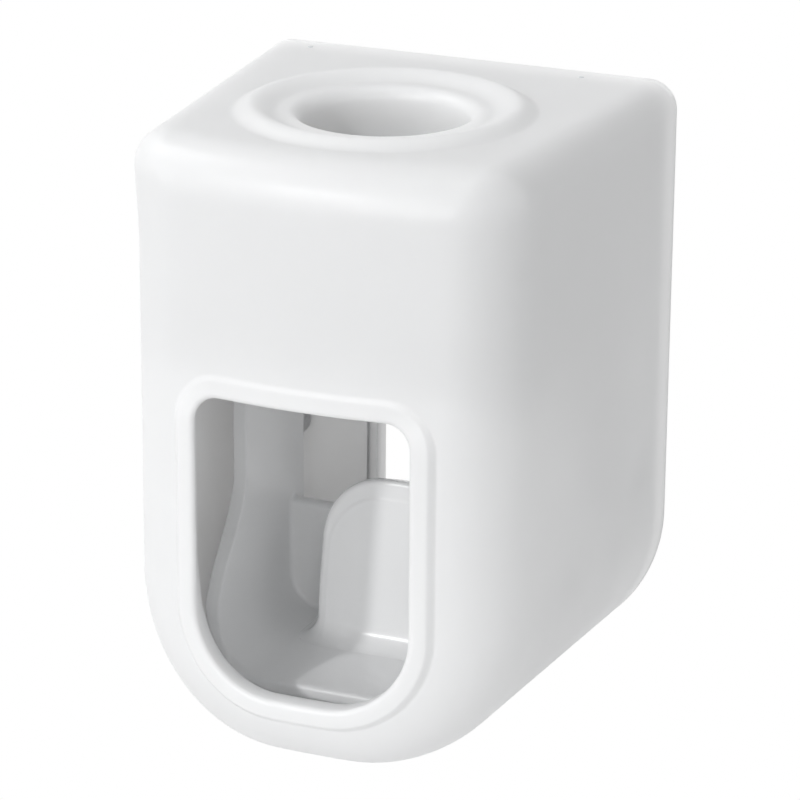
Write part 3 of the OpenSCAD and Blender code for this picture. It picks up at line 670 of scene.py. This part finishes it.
def pad_mesh():
    """The push pad, with a leaning face, a border line round it and a hollow foot."""
    front, top, back = PADDLE_Y - PAD_T, FLOOR_Z + PAD_H, PADDLE_Y + 0.1
    lean, fall, edge_r, foot_r = 0.1, 0.36, 1.1, 3.2
    border_depth, border_in, border_drop = 0.12, 1.3, 3.0

    def distance(x, y, z):
        # The face leans forward towards its foot, and the top falls away behind it
        face = front - lean * (top - z)
        outline = pad_outline_distance(x, z + fall * np.maximum(0, y - face))
        # A shallow step frames the face
        inner = pad_outline_distance(x, z, border_in, border_drop)
        face = face + border_depth * smooth_step((inner + 0.3) / 0.6)
        body = both(outline, np.maximum(face - y, y - back), edge_r)
        # Its foot runs into the scoop's floor in a hollow curve
        floor = channel_distance(x, y, z)
        return np.maximum(either(body, 0.04 - floor, foot_r), np.maximum(floor - 0.03, y - back))

    hx = PAD_W / 2 + 4
    return surface_net(distance, (-hx, front - 8, FLOOR_Z - 1), (hx, PADDLE_Y + 1, top + 1), 0.2)


# Turned, flat and wound pieces


def turned(name, profile, at=(0, HOLE_Y), axis="z", around=96):
    """A piece turned round an axis from a closed profile of (radius, height) points."""
    profile = np.asarray(profile, float)
    angle = 2 * math.pi * np.arange(around) / around
    r, h = profile[:, 0][:, None], np.broadcast_to(profile[:, 1][:, None], (len(profile), around))
    c, s = r * np.cos(angle), r * np.sin(angle)
    if axis == "z":
        points = np.stack([at[0] + c, at[1] + s, h], -1)
    else:
        points = np.stack([at[0] + c, h, at[1] - s], -1)
    faces = grid_faces(len(profile), around, closed_rows=True)[:, ::-1]
    return mesh_object(name, points.reshape(-1, 3), faces)


def round_profile(corners, radii, steps=5):
    """A closed profile with each corner rounded to its own radius, given counter-clockwise."""
    corners, out = np.asarray(corners, float), []
    for n, r in enumerate(radii):
        p, a, b = corners[n], corners[n - 1], corners[(n + 1) % len(corners)]
        u, v = (a - p) / np.linalg.norm(a - p), (b - p) / np.linalg.norm(b - p)
        if r <= 0:
            out.append(p)
            continue
        half = math.acos(np.clip(u @ v, -1, 1)) / 2
        middle = p + (u + v) / np.linalg.norm(u + v) * r / math.sin(half)
        first, last = p + u * r / math.tan(half), p + v * r / math.tan(half)
        a0 = math.atan2(*(first - middle)[::-1])
        turn = (math.atan2(*(last - middle)[::-1]) - a0 + math.pi) % (2 * math.pi) - math.pi
        for k in range(steps + 1):
            angle = a0 + turn * k / steps
            out.append(middle + r * np.array([math.cos(angle), math.sin(angle)]))
    return np.array(out)


def plate(name, outlines, y0, y1, edge):
    """A flat piece with rounded edges from closed outlines of (x, z): its own, and then those of its holes."""
    curve = bpy.data.curves.new(name, "CURVE")
    curve.dimensions, curve.fill_mode = "2D", "BOTH"
    curve.extrude, curve.bevel_depth = ((y1 - y0) / 2 - edge) * MM, edge * MM
    curve.bevel_resolution, curve.offset = 3, -edge * MM
    for outline in outlines:
        spline = curve.splines.new("POLY")
        spline.points.add(len(outline) - 1)
        for point, (x, z) in zip(spline.points, outline):
            point.co = (x * MM, z * MM, 0, 1)
        spline.use_cyclic_u = True
    source = linked(name + "_curve", curve)
    mesh = bpy.data.meshes.new_from_object(source.evaluated_get(bpy.context.evaluated_depsgraph_get()))
    bpy.data.objects.remove(source)
    middle = Matrix.Translation((0, ((y0 + y1) / 2 - WALL_Y) * MM, -PLATE_Z * MM))
    mesh.transform(middle @ Matrix.Rotation(math.pi / 2, 4, "X"))
    return linked(name, mesh)


def arc(cx, cz, r, a0, a1, n=16):
    angle = np.radians(np.linspace(a0, a1, n + 1))
    return np.stack([cx + r * np.cos(angle), cz + r * np.sin(angle)], 1)


def upright(w, low, high, r_top, r_low):
    """A rectangle's outline with its own corner radii at the top and the bottom."""
    return np.concatenate([
        arc(w / 2 - r_top, high - r_top, r_top, 0, 90), arc(-w / 2 + r_top, high - r_top, r_top, 90, 180),
        arc(-w / 2 + r_low, low + r_low, r_low, 180, 270), arc(w / 2 - r_low, low + r_low, r_low, 270, 360)])


def spring_mesh():
    """The return spring, whose first and last turns lie closer than the others."""
    front = YOKE_Y + YOKE_T + 0.1
    length = SPRING_SEAT - 0.1 - front - WIRE_D
    per_turn, sides = 40, 14
    end_turns, end_pitch = 0.75, 0.9 * WIRE_D
    n = round(SPRING_TURNS * per_turn)
    u = np.arange(n + 1) / n
    end, end_l = end_turns / SPRING_TURNS, end_turns * end_pitch
    close = end_pitch * SPRING_TURNS
    middle = end_l + (length - 2 * end_l) * (u - end) / (1 - 2 * end)
    y = np.where(u < end, close * u, np.where(u > 1 - end, length - close * (1 - u), middle))
    a = 2 * math.pi * SPRING_TURNS * u[:, None]
    b = 2 * math.pi * np.arange(sides)[None, :] / sides
    # At its two cut ends the wire narrows to a point
    wire = WIRE_D / 2 * np.where((u == 0) | (u == 1), 0.02, 1)[:, None]
    r = SPRING_R + wire * np.cos(b)
    along = front + WIRE_D / 2 + y[:, None] + wire * np.sin(b)
    points = np.stack([r * np.cos(a), along, PUMP_Z + r * np.sin(a)], -1)
    return points.reshape(-1, 3), grid_faces(n + 1, sides, closed_columns=True)


def box(name, low, high):
    """A plain box, used only to cut with."""
    corners = [(x, y, z) for x in (low[0], high[0]) for y in (low[1], high[1]) for z in (low[2], high[2])]
    faces = [(0, 1, 3, 2), (4, 6, 7, 5), (0, 4, 5, 1), (2, 3, 7, 6), (0, 2, 6, 4), (1, 5, 7, 3)]
    return mesh_object(name, corners, faces)


def screw_head(name, at, direction, r, t):
    """A domed head with a cross recess."""
    x, y, z = at
    corners = [(0.02, -t), (r * 0.9, -t), (r, -t * 0.55), (r, 0), (0.02, 0)]
    head = round_profile(corners, [0, 0.25, 0.2, 0.08, 0], 3)
    profile = np.stack([head[:, 0], y + direction * head[:, 1]], 1)[::direction]
    body = turned(name, profile, (x, z), "y", 48)
    recess_l, recess_w = r * 1.15, r * 0.24
    y0, y1 = sorted((y - direction * t * 1.2, y - direction * t * 0.4))
    cutters = []
    for w, h in ((recess_l, recess_w), (recess_w, recess_l)):
        cutters.append(box(name + "_cut", (x - w / 2, y0, z - h / 2), (x + w / 2, y1, z + h / 2)))
        cut = body.modifiers.new("recess", "BOOLEAN")
        cut.object, cut.solver = cutters[-1], "EXACT"
    body.data = bpy.data.meshes.new_from_object(body.evaluated_get(bpy.context.evaluated_depsgraph_get()))
    body.modifiers.clear()
    for cutter in cutters:
        bpy.data.objects.remove(cutter)
    return body


def screw_thread(name, at, direction, r, length):
    """A thread that thins out towards the screw's tip."""
    x, y, z = at
    pitch, height, per_turn, tip_turns = 0.8, 0.22, 20, 1.5
    n = int(length / pitch * per_turn)
    u = np.arange(n + 1)[:, None] / per_turn
    profile = np.array([(0, 0), (0.35, 0), (0.5, 1), (0.65, 0)])
    tip = np.clip((n / per_turn - u) / tip_turns, 0.05, 1)
    rho = (r - height + height * profile[:, 1]) * tip
    angle = 2 * math.pi * u
    along = y + direction * (u + profile[:, 0] - 1) * pitch * length / (length + pitch)
    points = np.stack([x + rho * np.cos(angle), np.broadcast_to(along, rho.shape), z + rho * np.sin(angle)], -1)
    faces = grid_faces(n + 1, len(profile), closed_columns=False)[:, ::-direction]
    return mesh_object(name + "_thread", points.reshape(-1, 3), faces)


def screw(name, at, direction, length):
    """A small screw along y, whose tip points to +y where direction is 1 and to -y where it is -1."""
    head_r, head_t, shank_r = 2.0, 1.2, 1.0
    x, y, z = at
    head = screw_head(name, at, direction, head_r, head_t)
    thread = screw_thread(name, at, direction, shank_r, length)
    core_r, start, end = shank_r - 0.2, y - 0.05 * direction, y + direction * length
    profile = [(0.02, start), (core_r, start), (core_r, end - direction), (0.02, end)]
    return joined(name, [head, thread, turned(name + "_core", profile[::-direction], (x, z), "y", 24)])


# Materials


def new_material(name):
    material = bpy.data.materials.new(name)
    material.use_nodes = True
    nodes, links = material.node_tree.nodes, material.node_tree.links
    nodes.clear()
    out = nodes.new("ShaderNodeOutputMaterial")
    shader = nodes.new("ShaderNodeBsdfPrincipled")
    links.new(shader.outputs[0], out.inputs[0])
    place = nodes.new("ShaderNodeTexCoord")
    return material, nodes, links, shader, place.outputs["Object"]


def noise(nodes, links, place, scale, detail=3.0, rough=0.5):
    made = nodes.new("ShaderNodeTexNoise")
    made.inputs["Scale"].default_value = scale
    made.inputs["Detail"].default_value = detail
    made.inputs["Roughness"].default_value = rough
    links.new(place, made.inputs["Vector"])
    return made.outputs["Fac"]


def ramp(nodes, links, value, low, high, start, end):
    """A colour between two, by a value."""
    made = nodes.new("ShaderNodeValToRGB")
    for element, at, colour in zip(made.color_ramp.elements, (start, end), (low, high)):
        element.position, element.color = at, (*colour, 1)
    links.new(value, made.inputs["Fac"])
    return made.outputs["Color"]


def between(nodes, links, value, low, high):
    """A number between two, by the middle range of a noise."""
    made = nodes.new("ShaderNodeMapRange")
    made.inputs["From Min"].default_value, made.inputs["From Max"].default_value = 0.3, 0.7
    made.inputs["To Min"].default_value, made.inputs["To Max"].default_value = low, high
    links.new(value, made.inputs["Value"])
    return made.outputs["Result"]


def bumped(nodes, links, shader, height, strength, distance):
    made = nodes.new("ShaderNodeBump")
    made.inputs["Strength"].default_value = strength
    made.inputs["Distance"].default_value = distance
    links.new(height, made.inputs["Height"])
    links.new(made.outputs["Normal"], shader.inputs["Normal"])


def plastic(name, light, dark, rough, grain=900, bump=0.05, specular=0.5, scatter=0.0, through=0.4):
    """Moulded plastic: nearly even colour, satin gloss, and the fine unevenness of a moulded skin.

    scatter is the depth in metres to which light goes into a thin white wall, and through its share."""
    material, nodes, links, shader, place = new_material(name)
    clouds, gloss = noise(nodes, links, place, 55), noise(nodes, links, place, 140, 4)
    links.new(ramp(nodes, links, clouds, dark, light, 0.15, 0.85), shader.inputs["Base Color"])
    links.new(between(nodes, links, gloss, *rough), shader.inputs["Roughness"])
    bumped(nodes, links, shader, noise(nodes, links, place, grain, 4, 0.6), bump, 0.00012)
    shader.inputs["Specular IOR Level"].default_value = specular
    if scatter:
        shader.inputs["Subsurface Weight"].default_value = through
        shader.inputs["Subsurface Radius"].default_value = (1.0, 0.98, 0.96)
        shader.inputs["Subsurface Scale"].default_value = scatter
    return material


def foam(name, light, dark):
    """Closed-cell foam tape: matt, with small round cells."""
    material, nodes, links, shader, place = new_material(name)
    cells = nodes.new("ShaderNodeTexVoronoi")
    cells.inputs["Scale"].default_value = 2600
    links.new(place, cells.inputs["Vector"])
    links.new(ramp(nodes, links, cells.outputs["Distance"], dark, light, 0.1, 0.6), shader.inputs["Base Color"])
    bumped(nodes, links, shader, cells.outputs["Distance"], 0.5, 0.0002)
    shader.inputs["Roughness"].default_value = 0.9
    return material


def metal(name, colour, rough=(0.2, 0.38)):
    """Drawn or turned steel with fine marks along its length."""
    material, nodes, links, shader, place = new_material(name)
    stretch = nodes.new("ShaderNodeMapping")
    stretch.inputs["Scale"].default_value = (1, 0.15, 1)
    links.new(place, stretch.inputs["Vector"])
    marks = noise(nodes, links, stretch.outputs["Vector"], 2400, 5, 0.7)
    links.new(between(nodes, links, marks, *rough), shader.inputs["Roughness"])
    darker = [c * 0.82 for c in colour]
    links.new(ramp(nodes, links, marks, darker, colour, 0.3, 0.7), shader.inputs["Base Color"])
    bumped(nodes, links, shader, marks, 0.12, 0.00005)
    shader.inputs["Metallic"].default_value = 1.0
    return material


# Each plastic's light and dark colour and its range of roughness
MATERIALS = {
    "casing_white": plastic("casing_white", (0.915, 0.92, 0.925), (0.905, 0.91, 0.915), (0.38, 0.45),
                            scatter=0.03),
    "cover_white": plastic("cover_white", (0.945, 0.95, 0.955), (0.935, 0.94, 0.945), (0.34, 0.44),
                           scatter=0.02, through=0.6),
    "scoop_white": plastic("scoop_white", (0.945, 0.95, 0.955), (0.937, 0.942, 0.947), (0.285, 0.34)),
    "pad_white": plastic("pad_white", (0.945, 0.95, 0.955), (0.937, 0.942, 0.947), (0.18, 0.26)),
    "pump_plastic": plastic("pump_plastic", (0.66, 0.68, 0.70), (0.62, 0.64, 0.66), (0.3, 0.42)),
    "plate_plastic": plastic("plate_plastic", (0.74, 0.745, 0.75), (0.71, 0.715, 0.72), (0.38, 0.5)),
    "silicone": plastic("silicone", (0.62, 0.60, 0.57), (0.57, 0.55, 0.52), (0.42, 0.55),
                        grain=1400, bump=0.08, specular=0.4),
    "black_rubber": plastic("black_rubber", (0.03, 0.03, 0.032), (0.02, 0.02, 0.022), (0.5, 0.65),
                            grain=1600, bump=0.12, specular=0.4),
    "foam": foam("foam", (0.10, 0.10, 0.105), (0.045, 0.045, 0.05)),
    "steel": metal("steel", (0.62, 0.62, 0.63)),
    "spring_steel": metal("spring_steel", (0.55, 0.55, 0.56), (0.16, 0.3)),
}


def dressed(made, slot, body=None, replaces=()):
    """Gives a piece its material and slot, its body, and the CAD nodes that it stands for."""
    made.data.materials.clear()
    made.data.materials.append(MATERIALS[slot])
    if body:
        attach(made, body)
    if replaces:
        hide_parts(*replaces)
    return made


# The pieces

PUMP_SCREWS = [(s * (BODY_W / 2 - 11), y) for s in (-1, 1) for y in (14, BODY_D - 14.2)]
COVER_SCREWS = [(s * (BODY_W / 2 - WALL - 3.6), z) for s in (-1, 1) for z in (30, BODY_H - 9.7)]
# How much smaller than the casing the cover is, on each side
COVER_EDGE = WALL + FIT_GAP + 0.2


def screw_bosses():
    """Bosses inside the casing with their screw holes: in the top for the pump, at the sides for the cover."""
    deck_boss_r, deck_hole_r, side_boss_r, side_hole_r, side_boss_l = 3.0, 1.3, 2.6, 1.05, 6.8
    web_start, web_end, web_t = 2.2, 3.5, 1.6
    top, side_front = BODY_H - WALL, COVER_Y - side_boss_l
    bosses = []
    corners = [(deck_hole_r, DECK_TOP), (deck_boss_r, DECK_TOP), (deck_boss_r, top), (deck_hole_r, top)]
    for spot in PUMP_SCREWS:
        bosses.append(turned("boss", round_profile(corners, [0.2, 0.3, 0, 0]), spot, "z", 40))
    corners = [(side_hole_r, COVER_Y), (side_hole_r, side_front), (side_boss_r, side_front),
               (side_boss_r, COVER_Y)]
    for x, z in COVER_SCREWS:
        bosses.append(turned("boss", round_profile(corners, [0, 0, 0.4, 0.3])[::-1], (x, z), "y", 40))
        side = math.copysign(1, x)
        x0, x1 = sorted((x + web_start * side, x + web_end * side))
        z0, z1 = z - web_t / 2, z + web_t / 2
        bosses.append(plate("web", [[(x0, z0), (x1, z0), (x1, z1), (x0, z1)]], side_front, COVER_Y, 0.15))
    dressed(smooth_edges(joined("screw_bosses", bosses)), "casing_white", "casing")


def top_mark_shade_dots():
    """Two tiny moulding marks near the back edge of the top, made as raised dots whose grey is painted shade of
    the small pits they are.
    """
    places, from_back, r = (-23, 18), 3.5, 0.4
    y = BODY_D - from_back
    z = float(top_z(y))
    dot = [(0.01, z - 0.2), (r, z - 0.2), (r, z + 0.03), (r / 2, z + 0.09), (0.01, z + 0.1)]
    marks = [turned("mark", dot, (x, y), "z", 24) for x in places]
    # The dots' grey plastic is painted shade, standing in for the shade inside two small pits
    dressed(joined("top_mark_shade_dots", marks), "pump_plastic", "casing")


def keyhole(x):
    """Outline of a keyhole: a slot for the stud's neck over a wide hole for its head."""
    slot_r, hole_r = STUD_R + SLIDE_GAP, STUD_HEAD_R + 0.5
    neck = math.degrees(math.asin(slot_r / hole_r))
    return np.concatenate([arc(x, PLATE_Z, slot_r, 0, 180),
                           arc(x, PLATE_Z - LIFT, hole_r, 90 + neck, 450 - neck, 30)])


def back_cover():
    """A panel with the central opening, two keyholes and four screw holes, and the opening's collar."""
    half, top = float(half_w(COVER_Y)) - COVER_EDGE, float(top_z(COVER_Y)) - COVER_EDGE
    outline = upright(2 * half, COVER_EDGE, top, 2.45, LOW_R - COVER_EDGE)
    opening = upright(OPENING_W + 0.1, OPENING_LOW - 0.05, OPENING_HIGH, OPENING_R, OPENING_R)
    keyholes = [keyhole(s * STUD_X) for s in (-1, 1)]
    screw_holes = [arc(x, z, 2.3, 0, 352, 44) for x, z in COVER_SCREWS]
    panel = plate("back_panel", [outline, opening, *keyholes, *screw_holes], COVER_Y, COVER_BACK, 0.3)

    r, inner, low = OPENING_R, OPENING_W / 2, OPENING_LOW - COLLAR_WALL
    outer, top = inner + COLLAR_WALL, PLATE_Z - PLATE_H / 2 - LIFT - 0.8
    u_shape = np.concatenate([
        [(-outer, top)], arc(-outer + r, low + r, r, 180, 270), arc(outer - r, low + r, r, 270, 360),
        [(outer, top), (inner, top)], arc(inner - r, OPENING_LOW + r, r, 360, 270),
        arc(-inner + r, OPENING_LOW + r, r, 270, 180), [(-inner, top)]])
    collar = plate("collar", [u_shape], COVER_Y - 0.02, COVER_Y + COLLAR_D, 0.1)
    dressed(smooth_edges(panel), "cover_white", "casing", ["back_cover"])
    dressed(smooth_edges(collar), "cover_white", "casing")


def wall_plate():
    """A plate with two mushroom studs, on its foam tape."""
    low, high = PLATE_Z - PLATE_H / 2, PLATE_Z + PLATE_H / 2
    base = plate("hanger_plate", [upright(PLATE_W, low, high, 3, 3)], PLATE_Y, FOAM_Y, 0.25)
    head_back, root = COVER_Y - SLIDE_GAP, PLATE_Y + 0.3
    head_front = head_back - STUD_HEAD_T
    corners = [(0.02, head_front), (STUD_HEAD_R, head_front), (STUD_HEAD_R, head_back), (STUD_R, head_back),
               (STUD_R, root), (0.02, root)]
    profile = round_profile(corners, [0, 0.5, 0.3, 0.4, 0, 0])[::-1]
    studs = [turned("stud", profile, (s * STUD_X, PLATE_Z), "y", 64) for s in (-1, 1)]
    whole = smooth_edges(joined("hanger_plate", [base, *studs]))
    dressed(whole, "plate_plastic", "wall_plate", ["wall_plate"])
    tape = plate("foam_tape", [upright(PLATE_W - 2, low + 1, high - 1, 2.5, 2.5)], FOAM_Y, WALL_Y, 0.22)
    dressed(smooth_edges(tape), "foam", "wall_plate", ["adhesive_pad"])


def tube_seat():
    """The soft neck seal, the ring that clamps it and the nozzle, turned round the tube's axis."""
    cup_r, cup_out, neck_r, duct_r, port_r = 9.0, 10.6, 6.3, 2.6, 3.95
    collar_z = TOP_AT_HOLE - SOCKET_L - SLIDE_GAP
    cup_top, low = collar_z - 2.2, DECK_TOP + 1
    seal_r, foot = cup_r - FIT_GAP, DECK_TOP + 0.02
    seal = [(port_r, foot), (seal_r, foot), (seal_r, cup_top), (cup_out, cup_top),
            (cup_out, cup_top + 1), (7.4, cup_top + 1), (neck_r, cup_top), (neck_r, cup_top - 1.1),
            (neck_r + 0.5, cup_top - 1.6), (neck_r, cup_top - 2.1), (neck_r, low + 1.2),
            (duct_r, low + 1.2), (duct_r, low), (port_r, low)]
    seal = round_profile(seal, [0, 0.2, 0.1, 0.1, 0.2, 0.6, 0.3, 0.2, 0.2, 0.2, 0.2, 0.2, 0.1, 0.1])
    dressed(turned("soft_neck_seal", seal), "silicone", "casing", ["neck_seal"])

    ring_r, ring_out, mouth_r, skirt, lid = cup_out + FIT_GAP, 12.15, 8.4, cup_top - 3.4, collar_z - 1.2
    ring = [(ring_r, skirt), (ring_out, skirt), (ring_out, collar_z), (mouth_r, collar_z), (mouth_r, lid),
            (ring_r, lid)]
    ring = round_profile(ring, [0.15, 0.3, 0.5, 0.4, 0.2, 0.1])
    dressed(turned("clamp_ring", ring), "casing_white", "casing", ["seal_collar"])

    bore_r, tip_r, grip_r = 2.9, 3.9, 3.95
    end, base, grip = SPOUT_LOW - 5.4, SPOUT_LOW - 1, SPOUT_LOW + 2.6
    tip = [(bore_r, end), (tip_r, end), (tip_r, SPOUT_LOW - 2.4), (NOZZLE_OUT, SPOUT_LOW - 2.0),
           (NOZZLE_OUT, grip), (grip_r, grip), (grip_r, base), (bore_r, base)]
    tip = round_profile(tip, [0.2, 0.4, 0.3, 0.3, 0.3, 0.1, 0.1, 0.1])
    dressed(turned("paste_nozzle", tip), "casing_white", "casing", ["nozzle"])


def return_spring():
    """The return spring, built at one length with its own mesh; the real one shortens as the scoop moves back.
    """
    coil = dressed(mesh_object("coil_spring", *spring_mesh()), "spring_steel", "casing", ["return_spring"])
    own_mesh(coil)


def small_screws():
    """The back cover's four screws and the yoke's two."""
    backs = [screw("back_screw", (x, COVER_BACK - 1.2, z), -1, 5.8) for x, z in COVER_SCREWS]
    dressed(smooth_edges(joined("cover_screws", backs)), "steel", "casing", ["back_screws"])
    yoke_x = SCOOP_W / 2 - 2
    yokes = [screw("yoke_screw", (s * yoke_x, YOKE_Y + 1.4, PUMP_Z - 0.7), 1, 6.0) for s in (-1, 1)]
    dressed(smooth_edges(joined("bridge_screws", yokes)), "steel", "pusher", ["yoke_screws"])


dressed(mesh_object("casing_shell", *casing_mesh()), "casing_white", "casing", ["casing"])
dressed(mesh_object("scoop", *scoop_mesh()), "scoop_white", "pusher", ["pusher"])
dressed(mesh_object("push_face", *pad_mesh()), "pad_white", "pusher", ["push_pad"])
for make in (screw_bosses, top_mark_shade_dots, back_cover, wall_plate, tube_seat, return_spring, small_screws):
    make()

# CAD nodes that stay, each with its finish
for node, slot in (("pump_body", "pump_plastic"), ("pump_screws", "steel"), ("inlet_valve", "silicone"),
                   ("outlet_valve", "silicone"), ("yoke", "scoop_white"), ("piston", "pump_plastic"),
                   ("piston_screw", "steel"), ("piston_seal", "black_rubber")):
    dressed(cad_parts[node], slot)

# Floor, lights and camera

# Where the photograph was taken from and how it was turned, in metres in the frame's axes
CAMERA_AT = (0.19754, -0.48929, 0.15450)
CAMERA_RIGHT = (0.9193, 0.3935, 0.0068)
CAMERA_UP = (-0.1361, 0.3016, 0.9437)
LENS = 173.67
FLOOR_DROP, FLOOR_HALF = 0.14, 3.0
WORLD_LIGHT = 0.62


def seen_white(nodes, links, shader, light):
    """White to the camera, in gloss and through glass, and the given shader to everything else."""
    path = nodes.new("ShaderNodeLightPath")
    seen = path.outputs["Is Camera Ray"]
    for other in ("Is Glossy Ray", "Is Transmission Ray"):
        add = nodes.new("ShaderNodeMath")
        add.operation = "MAXIMUM"
        links.new(seen, add.inputs[0])
        links.new(path.outputs[other], add.inputs[1])
        seen = add.outputs[0]
    mix = nodes.new("ShaderNodeMixShader")
    links.new(seen, mix.inputs[0])
    links.new(shader, mix.inputs[1])
    links.new(light, mix.inputs[2])
    return mix.outputs[0]


def make_floor():
    a, z = FLOOR_HALF, -PLATE_Z * MM - FLOOR_DROP
    mesh = bpy.data.meshes.new("floor")
    mesh.from_pydata([(-a, -a, z), (a, -a, z), (a, a, z), (-a, a, z)], [], [(0, 1, 2, 3)])
    floor = linked("floor", mesh)
    material = bpy.data.materials.new("floor")
    material.use_nodes = True
    nodes, links = material.node_tree.nodes, material.node_tree.links
    nodes.clear()
    out, flat, glow = (nodes.new("ShaderNode" + kind) for kind in ("OutputMaterial", "BsdfDiffuse", "Emission"))
    flat.inputs["Color"].default_value = (0.8, 0.8, 0.8, 1)
    links.new(seen_white(nodes, links, flat.outputs[0], glow.outputs[0]), out.inputs[0])
    mesh.materials.append(material)


def make_world():
    world = bpy.data.worlds.new("studio")
    bpy.context.scene.world = world
    world.use_nodes = True
    nodes, links = world.node_tree.nodes, world.node_tree.links
    nodes.clear()
    out, soft, bright = (nodes.new("ShaderNode" + kind) for kind in ("OutputWorld", "Background", "Background"))
    soft.inputs["Strength"].default_value = WORLD_LIGHT
    for light in (soft, bright):
        light.inputs["Color"].default_value = (1, 1, 1, 1)
    links.new(seen_white(nodes, links, soft.outputs[0], bright.outputs[0]), out.inputs[0])


def standing(right, up, back, at):
    """The matrix of a lamp or camera at a place, which looks against back."""
    axes = np.stack([right, up, back], 1)
    return Matrix([[*row, spot] for row, spot in zip(axes, at)] + [[0, 0, 0, 1]])


def make_lamp(name, azimuth, elevation, distance, size, power):
    """A square lamp that looks at the casing. Azimuth 0 is straight in front, and it grows to the right."""
    a, e = math.radians(azimuth), math.radians(elevation)
    aim = np.array(placed([0, BODY_D / 2, BODY_H / 2]))
    way = np.array([math.sin(a) * math.cos(e), -math.cos(a) * math.cos(e), math.sin(e)])
    right = np.cross([0, 0, 1], way)
    right /= np.linalg.norm(right)
    lamp = bpy.data.lights.new(name, "AREA")
    lamp.size, lamp.energy = size, power
    linked(name, lamp).matrix_world = standing(right, np.cross(way, right), way, aim + way * distance)


def make_camera():
    right, back = np.array(CAMERA_RIGHT), np.cross(CAMERA_RIGHT, CAMERA_UP)
    right /= np.linalg.norm(right)
    back /= np.linalg.norm(back)
    camera = bpy.data.cameras.new("camera")
    camera.sensor_width, camera.lens = 36, LENS
    camera.clip_start, camera.clip_end = 0.01, 20
    made = linked("camera", camera)
    made.matrix_world = standing(right, np.cross(back, right), back, CAMERA_AT)
    bpy.context.scene.camera = made


make_floor()
make_world()
# Name, azimuth and elevation in degrees, distance and size in metres, power in watts
make_lamp("key", -21.5, 29, 1.2, 0.06, 3.6)
make_lamp("front", -4, 12, 1.2, 0.15, 2.2)
make_lamp("fill", 25, 8, 1.0, 0.3, 0.7)
make_lamp("left", -85, 45, 1.2, 0.4, 3.6)
make_camera()
bpy.context.scene.view_settings.view_transform = "Standard"
